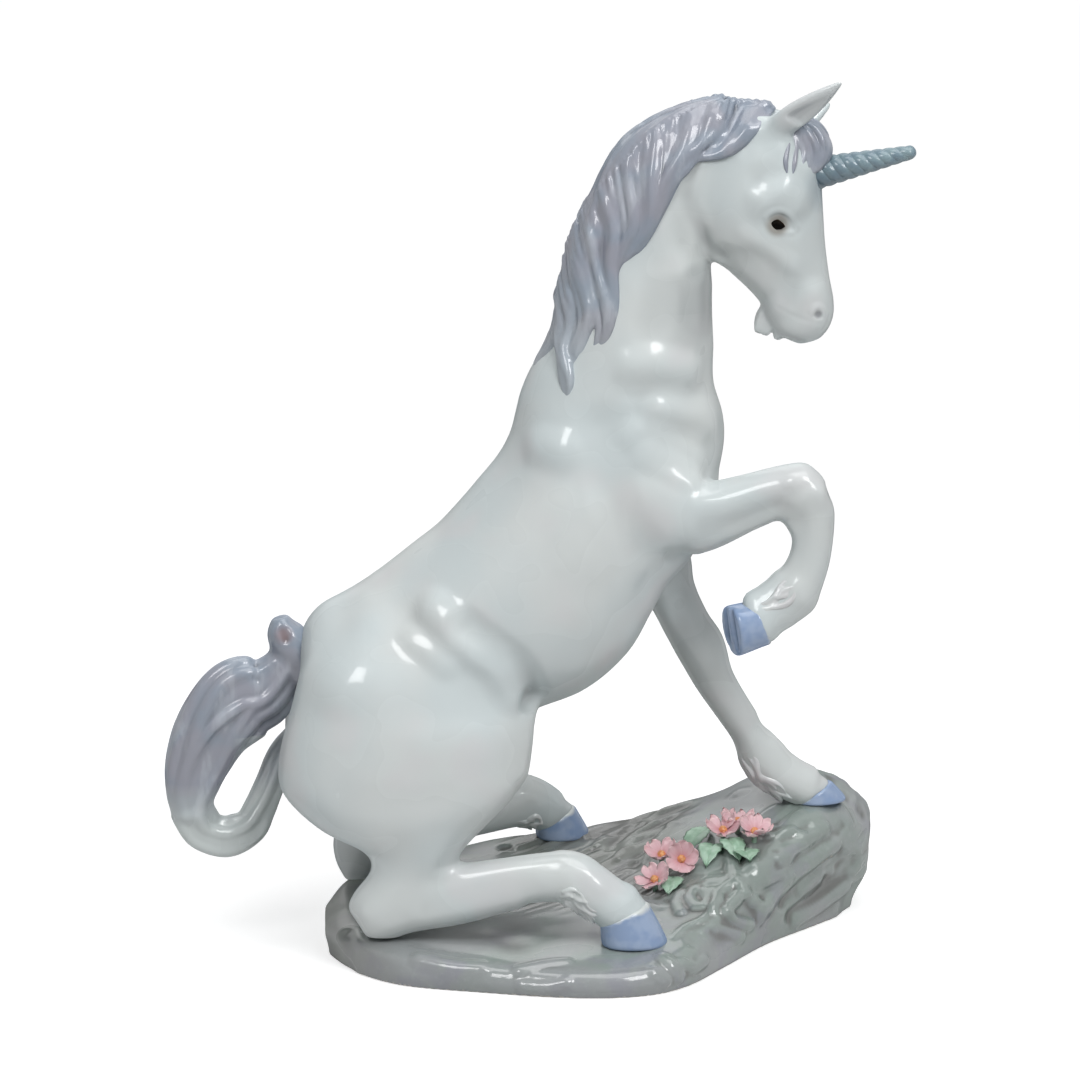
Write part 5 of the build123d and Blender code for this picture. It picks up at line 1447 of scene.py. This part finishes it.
class UNICORN_OT_mane(bpy.types.Operator):
    """The mane: strands that fall from the crest in ten locks on each side, and the forelock"""

    bl_idname = "unicorn.mane"
    bl_label = "Mane"

    def execute(self, context):
        sizes = context.scene.unicorn_sizes
        colours = context.scene.unicorn_colours
        bed = Clay(*MANE_BED_BOX, 0.8, 4.0)
        bed.add(trunk_roll(), sides=200)
        bed.add(head_roll(), 2.0, 160)
        backs, fronts, _ = trunk_chords()
        backs, fronts = backs[-len(CREST_RISES) :], fronts[-len(CREST_RISES) :]
        inward = normal(fronts - backs)
        rise = np.array(CREST_RISES)[:, None]
        half = CREST_HEIGHT * (rise + 1.6) / 2
        middle = backs + inward * (half - CREST_HEIGHT * rise)
        crest = flow(np.column_stack([middle, inward, half, CREST_BREADTH * np.array(CREST_BREADTHS)]), 12)
        tile = len(crest), 1
        crest_roll = Roll(crest[:, :3], normal(crest[:, 3:6]), np.tile(FAR, tile), crest[:, 6], crest[:, 7])
        bed.add(crest_roll, 1.5, 120)
        clay = Clay(*MANE_BOX, sizes.hair_step / MILLIMETRE, 2.5)
        clay.add(crest_roll.resized(crest[:, 6] - 0.3, crest[:, 7] - 0.8))
        random = np.random.default_rng(11)
        for hand in (-1, 1):
            self.lay_locks(clay, bed, hand, random, sizes.strand_count)
            self.lay_parting(clay, crest_roll, hand, random)
        points, quads, outward = self.finished(clay)
        piece = make_object(
            "mane_piece", points, quads, outward=outward, crease=clay.grooves(points, 1.8, 2.6),
            fade=ramp(points[:, 2], 208, 168) * 0.40,
        )
        glaze = hair_glaze(colours, "mane_glaze", *mane_tones(colours))
        locks = [f"mane_lock_{n}" for n in range(1, len(LOCK_ROWS) + 1)]
        finish_piece(piece, glaze, "mane_glaze", "mane_crest", *locks)
        self.make_forelock(sizes, glaze)
        return {"FINISHED"}

    def make_forelock(self, sizes, glaze):
        """The hair between the ears, in strands over a smaller lock."""
        clay = Clay(*FORELOCK_BOX, sizes.hair_step / MILLIMETRE, 2.5)
        lock = limb(head_point(0.42, 0.03), (11.0, -9.9, 21.0), 10.5, FORELOCK_ROWS)
        bed = Clay(*FORELOCK_BED_BOX, 0.6, 3.0)
        bed.add(head_roll(), sides=160)
        bed.add(lock, 1.5)
        clay.add(lock.resized(lock.half_deep * 0.93, lock.half_broad * 0.90))
        for path in FORELOCK_PATHS:
            spots = [bed.seen(*place) for place in path]
            spots = np.array([spot for spot in spots if spot is not None])
            for hand in (0, 1):
                across = ((spots - POLL) @ SIDEWAYS)[:, None] * SIDEWAYS
                line = flow(spots - 2 * across * hand, 8)
                along = np.linspace(0, 1, len(line))
                girth = 0.92 * np.interp(along, [0, 0.25, 0.7, 1], [0.8, 1.1, 0.9, 0.25])
                clay.add(path_roll(line, girth), 0.5, 20)
        points, quads, outward = self.finished(clay)
        piece = make_object(
            "forelock_piece", points, quads, outward=outward, crease=clay.grooves(points, 1.4, 1.6),
            fade=np.zeros(len(points)),
        )
        finish_piece(piece, glaze, "mane_glaze", "forelock")

    def lay_locks(self, clay, bed, hand, random, count):
        """Strands from the crest's spine down one side, gathered into locks that sweep down the neck."""
        rows = np.array(LOCK_ROWS)
        roots, tips = neck_point(rows[:, 0], rows[:, 1]), neck_point(rows[:, 2], rows[:, 3])
        down, sweep = np.gradient(roots, axis=0), np.gradient(tips, axis=0)
        out = normal(np.stack([down[:, 2], down[:, 1], -down[:, 0]], -1))
        t = np.linspace(0, 1, 34)
        for u in np.linspace(-0.35, len(rows) - 1, (len(rows) - 1) * count + 2):
            ahead = min(u + LOCK_SWEEP, len(rows) - 1)
            lock = int(np.clip(round(ahead), 0, len(rows) - 1))
            spill = min(u, 0) * 5.0
            root = pick(roots, u) + pick(out, u) * 1.2 - [spill, 0, -spill * 1.1]
            tip = pick(tips, ahead) * 0.6 + tips[lock] * 0.4 - [spill * 0.5, 0, 0]
            tip = tip + random.uniform(-0.6, 0.6, 3) * [1, 0, 1]
            bow = NECK_SIZE[0] * pick(rows, u)[4] * 0.7 + random.uniform(-0.7, 0.7)
            curl = pick(sweep, ahead) * random.uniform(0.10, 0.35)
            path = root + (tip - root) * t[:, None] + curl * (t**3)[:, None]
            wave = 1.7 * np.sin(2.4 * np.pi * t + 1.9 * round(u)) * np.clip(t * 1.6, 0, 1)
            path[:, 0] += bow * np.sin(np.pi * t) + 0.35 * np.sin(math.tau * t + random.uniform(0, 6))
            path += normal(pick(out, u) * [1, 0, 1]) * wave[:, None]
            sides = []
            for spot in path:
                found = bed.land(spot + FAR * hand * 24, -FAR * hand, 24)
                sides.append(0.4 if found is None else abs(found[1]))
            sides = np.convolve(np.pad(sides, 3, mode="edge"), np.ones(7) / 7, "valid")
            crown = 1 - 2 * abs(u - round(u))
            lift = (2.1 * crown - 0.2) * np.sin(np.pi * np.clip(t * 0.8 + 0.12, 0, 1)) - 1.2 * t**6
            path[:, 1] = hand * (sides + lift)
            girth = np.interp(t, [0, 0.2, 0.6, 0.85, 1], [0.5, 1.15, 1.05, 0.75, 0.3])
            girth = random.uniform(1.05, 1.5) * girth
            clay.add(path_roll(path, girth), 0.7, 20)

    def lay_parting(self, clay, crest, hand, random):
        """Strands that part at the crest's spine and run down it, over the roots of the locks."""
        last = len(crest.centres) - 1
        t = np.linspace(0, 1, 30)
        for start in np.linspace(1.0, 0.10, 22):
            long = random.uniform(0.24, 0.32)
            at = np.clip(start - long * t, 0, 1) * last
            centres, inward = pick(crest.centres, at), pick(crest.deep, at)
            half_deep, half_broad = pick(np.column_stack([crest.half_deep, crest.half_broad]), at).T
            turn = 0.06 + (random.uniform(1.15, 1.45) - 0.06) * t**0.8
            deep, broad = (half_deep - 0.75) * np.cos(turn), (half_broad - 0.9) * np.sin(turn)
            path = centres - inward * deep[:, None] + FAR * hand * broad[:, None]
            girth = random.uniform(1.25, 1.6) * np.interp(t, [0, 0.2, 0.7, 1], [0.55, 1.0, 1.0, 0.4])
            clay.add(path_roll(path, girth), 0.5, 20)

    def finished(self, clay):
        """The skin of softened hair."""
        clay.soften(1)
        return clay.skin()


class UNICORN_OT_tail(bpy.types.Operator):
    """The tail: its knob, the broad plume and the strand that loops back to the rump"""

    bl_idname = "unicorn.tail"
    bl_label = "Tail"

    def execute(self, context):
        sizes = context.scene.unicorn_sizes
        colours = context.scene.unicorn_colours
        clay = Clay(*TAIL_BOX, sizes.hair_step / MILLIMETRE, 3.0)
        span = (-28.2, 10.0, -52.5)
        root = body_point(-0.015, 0.368)
        knob = limb(body_point(0.050, 0.360), (9.0, 0.0, 16.0), 12.0, TAIL_ROOT_ROWS)
        plume = limb(root, span, 26.0, PLUME_ROWS)
        loop = limb(root, span, 26.0, STRAND_ROWS)
        clay.add(knob, 0, 48)
        for roll, count, seed in ((plume, 11, 21), (loop, 5, 22)):
            clay.add(roll.resized(roll.half_deep * 0.98, roll.half_broad * 0.90), 4.0)
            for strand in strands(roll, count, seed):
                clay.add(strand, 0.8, 20)
        for side in (1, 6, 12):
            clay.stroke([(-119.5, side, 39.5), (-113.0, side, 40.5), (-105.5, side, 40.0)], 4.2, 1.1)
        clay.soften(2)
        pit = clay.seen(*PIT_PLACE)
        clay.stroke([pit, pit + [0.6, 0, -2.0]], 2.4, -0.9)
        points, quads, outward = clay.skin()
        pitted = np.clip(1.6 - np.linalg.norm(points - pit + [0, 0, 0.8], axis=1) / 2.2, 0, 1)
        x, _, z = points.T
        fade = ramp(z, 52, 38) + ramp(x, -104, -98) * (z < 66) * 0.55
        piece = make_object(
            "tail_piece", points, quads, outward=outward, crease=clay.grooves(points, 1.8, 1.6),
            fade=np.clip(fade, 0, 1), pit=pitted * 0.55,
        )
        glaze = hair_glaze(colours, "tail_glaze", *mane_tones(colours))
        finish_piece(piece, glaze, "mane_glaze", "tail_root", "tail_plume", "tail_strand")
        return {"FINISHED"}


class UNICORN_OT_horn(bpy.types.Operator):
    """The horn, with ribs that wind round it"""

    bl_idname = "unicorn.horn"
    bl_label = "Horn"

    def execute(self, context):
        sizes = context.scene.unicorn_sizes
        way = normal(FORWARD * math.cos(HORN_RISE) + UP * math.sin(HORN_RISE))
        side = normal(np.cross(way, UP))
        seat = head_point(0.60, 0.290) - way * 4
        plan = Growth(
            "horn_growth", Starts=3, Turns=float(sizes.horn_turns), Rib=sizes.horn_rib, Length=0.0366,
            Root=0.0053, Tip=0.0018,
        )
        grid = plan.node("GeometryNodeMeshGrid", {}, {0: 1.0, 1: 1.0, 2: 260, 3: 121})
        place = plan.node("GeometryNodeInputPosition", {}, {})
        along = plan.node("ShaderNodeSeparateXYZ", {}, {0: place}, 0) + 0.5
        angle = (plan.node("ShaderNodeSeparateXYZ", {}, {0: place}, 1) + 0.5) * math.tau
        wave = plan.sum("SINE", along * plan.given("Turns") * math.pi - angle * plan.given("Starts") * 0.5)
        rib = plan.sum("ABSOLUTE", wave) ** 0.8
        taper = plan.given("Root") + (plan.given("Tip") - plan.given("Root")) * along
        dome = plan.sum("MAXIMUM", along - 0.955, 0.0) / 0.045
        cap = plan.sum("SQRT", plan.sum("MAXIMUM", 1.0001 - dome * dome, 0.0))
        radius = (taper + (rib - 0.6) * plan.given("Rib") * (taper / plan.given("Root"))) * cap
        across, up = radius * plan.sum("COSINE", angle), radius * plan.sum("SINE", angle)
        spot = plan.point(along * plan.given("Length"), across, up)
        shaped = plan.node("GeometryNodeSetPosition", {}, {"Geometry": grid, "Position": spot})
        stored = {"data_type": "FLOAT", "domain": "POINT"}
        flute = (1 - rib) ** 1.4
        shaped = plan.node(
            "GeometryNodeStoreNamedAttribute", stored, {"Geometry": shaped, "Name": "crease", "Value": flute},
        )
        merged = plan.node("GeometryNodeMergeByDistance", {}, {"Geometry": shaped, "Distance": 1e-6})
        smooth = plan.node("GeometryNodeSetShadeSmooth", {}, {"Geometry": merged})
        glaze = horn_glaze(context.scene.unicorn_colours)
        piece = plan.grow("horn_piece", bpy.data.meshes.new("horn_piece"), smooth, glaze)
        settle(piece, seat, np.column_stack([way, side, np.cross(way, side)]))
        close_up(piece, 1e-7, True)
        finish_piece(piece, glaze, "horn_glaze", "horn")
        return {"FINISHED"}


def settle(thing, spot, basis):
    """Turns a mesh by a basis and puts its origin at a spot, given in millimetres."""
    turn = Matrix(basis.tolist()).to_4x4()
    thing.data.transform(Matrix.Translation(Vector(spot) * MILLIMETRE) @ turn)


def close_up(thing, distance=1e-6, fill=False):
    """Merges doubled points, fills open ends where asked and turns the faces outwards."""
    work = bmesh.new()
    work.from_mesh(thing.data)
    bmesh.ops.remove_doubles(work, verts=work.verts, dist=distance)
    if fill:
        bmesh.ops.holes_fill(work, edges=[edge for edge in work.edges if edge.is_boundary], sides=0)
    bmesh.ops.recalc_face_normals(work, faces=work.faces)
    work.to_mesh(thing.data)
    work.free()


def sheet(middle, thick):
    """The points of a sheet's two faces, below and above its middle, and the four-sided faces."""
    rows, columns = middle.shape[:2]
    points = [(middle + UP * (thick * half)[..., None]).reshape(-1, 3) for half in (-0.5, 0.5)]
    i, j = np.meshgrid(np.arange(rows - 1), np.arange(columns - 1), indexing="ij")
    a = (i * columns + j).ravel()
    quads = np.stack([a, a + columns, a + columns + 1, a + 1], -1)
    return np.concatenate(points), np.concatenate([quads[:, ::-1], quads + rows * columns])


class UNICORN_OT_hooves(bpy.types.Operator):
    """The four hooves and the tufts of hair behind the fetlocks"""

    bl_idname = "unicorn.hooves"
    bl_label = "Hooves"

    def execute(self, context):
        colours = context.scene.unicorn_colours
        limbs = Figure.limbs()
        blue = hoof_glaze(colours)
        tones = colours.body, colours.body_warm, colours.feather_shade, colours.body_cool
        pale = hair_glaze(colours, "feather_glaze", *tones)
        for name, (leg, heading, size, back, spread) in FOOT_PLANS.items():
            roll = limbs[leg][0]
            rings, (centre, toe, side) = hoof_rings(roll.centres[-1], heading, size)
            clay = Clay(rings.min((0, 1)) - 3, rings.max((0, 1)) + 3, 0.36, 2.5)
            clay.add(Rings(rings))
            if heading is None:
                for hand in (-1, 1):
                    slot = [centre + toe * u + side * hand * (2.6 + 0.1 * u) for u in (-5.5, -2.0, 1.5, 5.0)]
                    clay.stroke(slot, (1.3, 1.5, 1.3), -1.5)
                clay.stroke([centre + toe * u for u in (-5.5, -1.0, 3.0)], (2.2, 1.2), 0.5)
            clay.soften(2)
            points, quads, outward = clay.skin()
            down = centre - rings[0].mean(0)
            along = (points - rings[0].mean(0)) @ down / (down @ down)
            ragged = noise(points, (1.8, 1.8, 1.8), 9) * 0.07
            lines = np.clip((along - 0.93) * 6, 0, 1) * 0.4 if heading is None else 0
            piece = make_object(
                f"{name}_hoof_piece", points, quads, outward=outward,
                crease=clay.grooves(points, 1.4, 2.0, lines),
                fade=np.clip(1 - (along + ragged - 0.06) / 0.10, 0, 1),
            )
            finish_piece(piece, blue, "hoof_glaze", f"{name}_hoof")

            fetlock = roll.centres[-21]
            clay = Clay(fetlock - 22, fetlock + 22, 0.36, 2.5)
            for strand in self.tuft(roll, np.array(back), spread, len(name) + int(size * 10)):
                clay.add(strand, 0.45, 20)
            clay.soften(1)
            points, quads, outward = clay.skin()
            piece = make_object(
                f"{name}_feather_piece", points, quads, outward=outward,
                crease=clay.grooves(points, 1.2, 1.8), fade=np.zeros(len(points)),
            )
            finish_piece(piece, pale, "body_glaze", f"{name}_feather")
        return {"FINISHED"}

    def tuft(self, roll, back, spread, seed):
        """Wavy strands that hang behind a fetlock and lean towards the hoof."""
        random = np.random.default_rng(seed)
        rolls = []
        bone = np.column_stack([
            roll.centres, (roll.half_deep + roll.half_broad) / 2, normal(np.gradient(roll.centres, axis=0)),
        ])
        for layer, first in enumerate((-27, -22, -17)):
            for turn in np.linspace(-spread, spread, 10 - layer % 2):
                turn = turn + random.uniform(-0.08, 0.08)
                t = np.linspace(0, 1, 16)
                place = np.minimum(first + t * random.uniform(9, 13), -1.0) + len(roll.centres)
                centre, girth = pick(bone[:, :3], place), pick(bone[:, 3:4], place)[:, 0]
                along = bone[place.astype(int), 4:]
                rear = normal(back - along * (along @ back)[:, None])
                side = np.cross(along, rear)
                swing = turn + 0.16 * np.sin(5 * t + random.uniform(0, 6))
                flare = girth * 0.86 + (0.3 + 1.9 * math.cos(turn * 0.8)) * t**1.4
                way = rear * np.cos(swing)[:, None] + side * np.sin(swing)[:, None]
                path = centre + way * flare[:, None]
                width = random.uniform(0.75, 1.0) * np.interp(t, [0, 0.3, 0.7, 1], [0.8, 1.05, 0.85, 0.3])
                rolls.append(path_roll(path, width))
        return rolls


class UNICORN_OT_eyes(bpy.types.Operator):
    """The two painted eyes"""

    bl_idname = "unicorn.eyes"
    bl_label = "Eyes"

    def execute(self, context):
        glaze = eye_glaze(context.scene.unicorn_colours)
        for name, side in (("near_eye", 0), ("far_eye", 1)):
            centre = Figure.eye_seat(side)
            out = SIDEWAYS * (1 if side else -1)
            long = normal(FORWARD - UP * 0.22)
            tall = normal(np.cross(long, out)) * (1 if side else -1)
            turns = np.linspace(0, math.tau, 40, endpoint=False)
            s, a = np.meshgrid(np.linspace(0, np.pi, 24), turns, indexing="ij")
            point = 1 - 0.28 * np.abs(np.sin(a)) * np.abs(np.cos(a))
            flat = long * (np.cos(a) * EYE_HALF_LENGTH * point)[..., None]
            flat = flat + tall * (np.sin(a) * EYE_HALF_HEIGHT * point)[..., None]
            rings = centre + out * 0.42 + np.cos(s)[..., None] * out * 0.95 + np.sin(s)[..., None] * flat
            surface, quads, triangles = Rings(rings).surface()
            rim = np.concatenate([ramp(np.sin(s), 0.88, 1.0).ravel(), [0, 0]])
            piece = make_object(name, surface, quads, triangles, rim=rim)
            close_up(piece)
            finish_piece(piece, glaze, "eye_glaze")
        return {"FINISHED"}


class UNICORN_OT_flowers(bpy.types.Operator):
    """The six flowers, with their hearts and stems"""

    bl_idname = "unicorn.flowers"
    bl_label = "Flowers"

    def execute(self, context):
        sizes = context.scene.unicorn_sizes
        colours = context.scene.unicorn_colours
        pink = petal_glaze(colours)
        hearts, stalks = [], []
        bead_points, bead_faces = self.heart()
        for number, (x_share, y_share, tilt, turn, lift) in enumerate(FLOWER_ROWS, 1):
            foot = Figure.rock_spot(x_share, y_share)
            spot = foot + UP * STEM_HEIGHT * lift
            turned = Matrix.Rotation(math.radians(turn), 3, "Z")
            basis = np.array(turned @ Matrix.Rotation(math.radians(tilt), 3, "X"))
            piece = self.corolla(f"flower_{number}_petals", sizes.petal_count, number, pink)
            settle(piece, spot, basis)
            finish_piece(piece, pink, "petal_glaze", f"flower_{number}")
            hearts.append(bead_points @ basis.T + spot)
            stalks.append((spot, foot - UP * 2))
        faces = np.concatenate([bead_faces + len(bead_points) * n for n in range(len(hearts))])
        piece = make_object("flower_hearts", np.concatenate(hearts), faces)
        finish_piece(piece, pollen_glaze(colours), "pollen_glaze", "flower_centres")
        tops, feet = zip(*stalks)
        clay = Clay(np.min(feet, 0) - 3, np.max(tops, 0) + 3, 0.4, 2.0)
        for top, foot in stalks:
            centres = top + (foot - top) * np.linspace(0, 1, 8)[:, None]
            girth = np.full(8, STEM_RADIUS)
            clay.add(path_roll(centres, girth), 0.3, 16)
        points, quads, outward = clay.skin()
        piece = make_object("flower_stalks", points, quads, outward=outward, rim=np.zeros(len(points)))
        finish_piece(piece, leaf_glaze(colours), "leaf_glaze", "flower_stems")
        return {"FINISHED"}

    def corolla(self, name, count, number, glaze):
        """One petal, set round the heart by a geometry tree."""
        u, v = np.meshgrid(np.linspace(0, 1, 17), np.linspace(-1, 1, 15), indexing="ij")
        width = np.interp(u, [0, 0.15, 0.45, 0.75, 0.92, 1.0], [0.45, 0.9, 2.2, 2.7, 2.0, 0.9])
        reach = PETAL_LENGTH * u * (1 - 0.035 * np.exp(-((v / 0.2) ** 2)) * u**3)
        cup = 2.1 * u**1.5 + 1.2 * v**2 * u - 0.18 * np.exp(-((v / 0.16) ** 2)) * u
        cup = cup + 0.25 * np.sin(9 * v + number) * u**4
        rim = np.maximum(u, np.abs(v) * np.clip(u * 2, 0, 1))
        points, faces = sheet(np.stack([reach, width * v, cup], -1), PETAL_THICKNESS * (1 - rim**5))
        vein = np.clip(np.cos(v * 17) * 0.5 + 0.5, 0, 1) * np.clip(1.2 - u, 0, 1)
        marks = {"rim": np.tile(rim.ravel(), 2), "vein": np.tile(vein.ravel(), 2)}
        petal = make_object("one_petal", points, faces, **marks)
        close_up(petal)
        plan = Growth(f"{name}_growth", Petals=count, Spread=0.22, Seed=number)
        index = plan.node("GeometryNodeInputIndex", {}, {})
        inputs = {"Min": -1.0, "Max": 1.0, "ID": index, "Seed": plan.given("Seed")}
        loose = plan.node("FunctionNodeRandomValue", {}, inputs, 1)
        turn = index * math.tau / plan.given("Petals") + loose * plan.given("Spread")
        tip = plan.point(loose * 0.16, loose * 0.22 - 0.12, turn)
        dots = plan.node("GeometryNodePoints", {}, {"Count": plan.given("Petals")})
        inputs = {"Points": dots, "Instance": plan.seed, "Rotation": tip}
        ring = plan.node("GeometryNodeInstanceOnPoints", {}, inputs)
        mesh = petal.data
        bpy.data.objects.remove(petal)
        return plan.grow(name, mesh, ring, glaze)

    def heart(self):
        """The points and faces of one heart: a dome of small beads."""
        ball = bpy.data.meshes.new("pollen")
        work = bmesh.new()
        bmesh.ops.create_icosphere(work, subdivisions=2, radius=BEAD_RADIUS * MILLIMETRE)
        work.to_mesh(ball)
        work.free()
        plan = Growth("heart_growth", Beads=15, Radius=0.0010, Height=0.0010)
        index = plan.node("GeometryNodeInputIndex", {}, {})
        share = plan.sum("DIVIDE", index + 0.3, plan.given("Beads"))
        out = plan.sum("SQRT", share) * plan.given("Radius")
        turn = index * GOLDEN_ANGLE
        height = (1 - share) * plan.given("Height") + 0.0003
        spot = plan.point(out * plan.sum("COSINE", turn), out * plan.sum("SINE", turn), height)
        dots = plan.node("GeometryNodePoints", {}, {"Count": plan.given("Beads"), "Position": spot})
        size = 1.9 - share
        inputs = {"Points": dots, "Instance": plan.seed, "Scale": plan.point(size, size, size)}
        ring = plan.node("GeometryNodeInstanceOnPoints", {}, inputs)
        made = plan.grow("pollen", ball, ring, None)
        points = np.empty(len(made.data.vertices) * 3)
        made.data.vertices.foreach_get("co", points)
        faces = np.array([tuple(face.vertices) for face in made.data.polygons])
        bpy.data.objects.remove(made)
        return points.reshape(-1, 3) / MILLIMETRE, faces


class UNICORN_OT_leaves(bpy.types.Operator):
    """The five green leaves"""

    bl_idname = "unicorn.leaves"
    bl_label = "Leaves"

    def execute(self, context):
        glaze = leaf_glaze(context.scene.unicorn_colours)
        for number, (x_share, y_share, angle, rise, size) in enumerate(LEAF_ROWS, 1):
            start = ROCK_CORNER[:2] + ROCK_SIZE[:2] * (x_share, y_share)
            heading = np.array([math.cos(math.radians(angle)), math.sin(math.radians(angle))])
            u, v = np.meshgrid(np.linspace(0, 1, 21), np.linspace(-1, 1, 13), indexing="ij")
            spine = start + heading * LEAF_LENGTH * size * u[:, :1]
            lift = np.array([Figure.rock_top(*p) for p in spine])
            lift = lift + 0.9 + 10.5 * rise * np.sin(np.pi * u[:, 0])
            width = LEAF_HALF_WIDTH * (np.sin(np.pi * u**0.8) ** 0.8 * 0.97 + 0.03)
            width = width * (1 + 0.07 * np.sin(u * 34) * np.abs(v) ** 3)
            aside = np.array([-heading[1], heading[0]])
            flat = spine[:, None] + aside * (width * v)[..., None]
            height = lift[:, None] + 0.5 * np.abs(v) * np.clip(u * 3, 0, 1) - 0.5 * np.exp(-(v / 0.16) ** 2)
            middle = np.concatenate([flat, height[..., None]], -1)
            points, faces = sheet(middle, LEAF_THICKNESS * (1 - np.abs(v) ** 6))
            rim = np.maximum(1 - u * 3, 0) * 0.7
            piece = make_object(f"leaf_{number}_blade", points, faces, rim=np.tile(rim.ravel(), 2))
            close_up(piece)
            finish_piece(piece, glaze, "leaf_glaze", f"leaf_{number}")
        return {"FINISHED"}


class UNICORN_OT_stage(bpy.types.Operator):
    """The plain floor, the soft lamps and the camera"""

    bl_idname = "unicorn.stage"
    bl_label = "Stage"

    def execute(self, context):
        scene = context.scene
        sizes = scene.unicorn_sizes
        corners = np.array([(-1, -1, 0), (1, -1, 0), (1, 1, 0), (-1, 1, 0)]) * FLOOR_REACH
        floor = make_object("floor", corners, np.array([[0, 1, 2, 3]]))
        mix = GlazeMix("floor_card")
        tree = mix.tree
        radius = mix.node("ShaderNodeVectorMath", {"operation": "LENGTH"}, {0: mix.place}, 1)
        away = mix.span(radius, 0.30, 0.80)
        pale = mix.blend(away, scene.unicorn_colours.floor, (0.02, 0.02, 0.02))
        tree.links.new(pale.socket, mix.shader.inputs["Base Color"])
        mix.shader.inputs["Roughness"].default_value = 0.9
        glow = mix.blend(mix.direct_ray(), (0, 0, 0), mix.blend(away, FLOOR_GLOW, (1, 1, 1)))
        tree.links.new(glow.socket, mix.shader.inputs["Emission Color"])
        mix.shader.inputs["Emission Strength"].default_value = 1.0
        mix.shader.inputs["Specular IOR Level"].default_value = 0.0
        floor.data.materials.append(mix.material)

        world = bpy.data.worlds.new("studio")
        world.use_nodes = True
        studio = Recipe(world.node_tree)
        dim = studio.tree.nodes["Background"]
        dim.inputs["Color"].default_value = WORLD_COLOUR
        white = studio.node("ShaderNodeBackground", {}, {"Color": (1, 1, 1, 1)})
        inputs = {0: studio.direct_ray(), 1: Wire(studio, dim.outputs[0]), 2: white}
        chosen = studio.node("ShaderNodeMixShader", {}, inputs)
        studio.tree.links.new(chosen.socket, studio.tree.nodes["World Output"].inputs["Surface"])
        scene.world = world

        target = Vector(STAGE_CENTRE)
        for name, place, size, power in LAMPS:
            lamp = bpy.data.lights.new(name, "AREA")
            lamp.shape = "RECTANGLE"
            lamp.size, lamp.size_y = size, size * 1.3
            lamp.energy = power * sizes.softbox * 2
            holder = bpy.data.objects.new(name, lamp)
            holder.location = place
            holder.rotation_euler = (target - Vector(place)).to_track_quat("-Z", "Y").to_euler()
            scene.collection.objects.link(holder)

        eye = bpy.data.cameras.new("camera")
        eye.sensor_width = SENSOR_WIDTH
        eye.lens = SENSOR_WIDTH * CAMERA_DISTANCE / FRAME_WIDTH
        eye.clip_end = 20
        camera = bpy.data.objects.new("camera", eye)
        camera.location = target - Vector(VIEW) * CAMERA_DISTANCE
        camera.rotation_euler = Vector(VIEW).to_track_quat("-Z", "Y").to_euler()
        scene.collection.objects.link(camera)
        scene.camera = camera
        scene.view_settings.view_transform = "Standard"
        return {"FINISHED"}


class UNICORN_PT_panel(bpy.types.Panel):
    """Lists the steps that make the figure"""

    bl_idname = "UNICORN_PT_panel"
    bl_label = "Porcelain unicorn"
    bl_space_type = "VIEW_3D"
    bl_region_type = "UI"
    bl_category = "Unicorn"

    def draw(self, context):
        for step in STEPS:
            self.layout.operator(step.bl_idname)
        for name in FigureSizes.__annotations__:
            self.layout.prop(context.scene.unicorn_sizes, name)
        for name in GlazeColours.__annotations__:
            self.layout.prop(context.scene.unicorn_colours, name)


STEPS = (
    UNICORN_OT_stage,
    UNICORN_OT_rock,
    UNICORN_OT_body,
    UNICORN_OT_head,
    UNICORN_OT_mane,
    UNICORN_OT_tail,
    UNICORN_OT_horn,
    UNICORN_OT_eyes,
    UNICORN_OT_hooves,
    UNICORN_OT_flowers,
    UNICORN_OT_leaves,
)
CLASSES = (GlazeColours, FigureSizes, *STEPS, UNICORN_PT_panel)


def register():
    """Registers the classes and their settings."""
    for item in CLASSES:
        bpy.utils.register_class(item)
    bpy.types.Scene.unicorn_colours = PointerProperty(type=GlazeColours)
    bpy.types.Scene.unicorn_sizes = PointerProperty(type=FigureSizes)


def unregister():
    """Takes the classes and their settings away."""
    del bpy.types.Scene.unicorn_sizes
    del bpy.types.Scene.unicorn_colours
    for item in reversed(CLASSES):
        bpy.utils.unregister_class(item)


def main():
    """Makes the figure."""
    register()
    for step in STEPS:
        getattr(bpy.ops.unicorn, step.bl_idname.split(".")[1])()


if __name__ == "__main__":
    main()
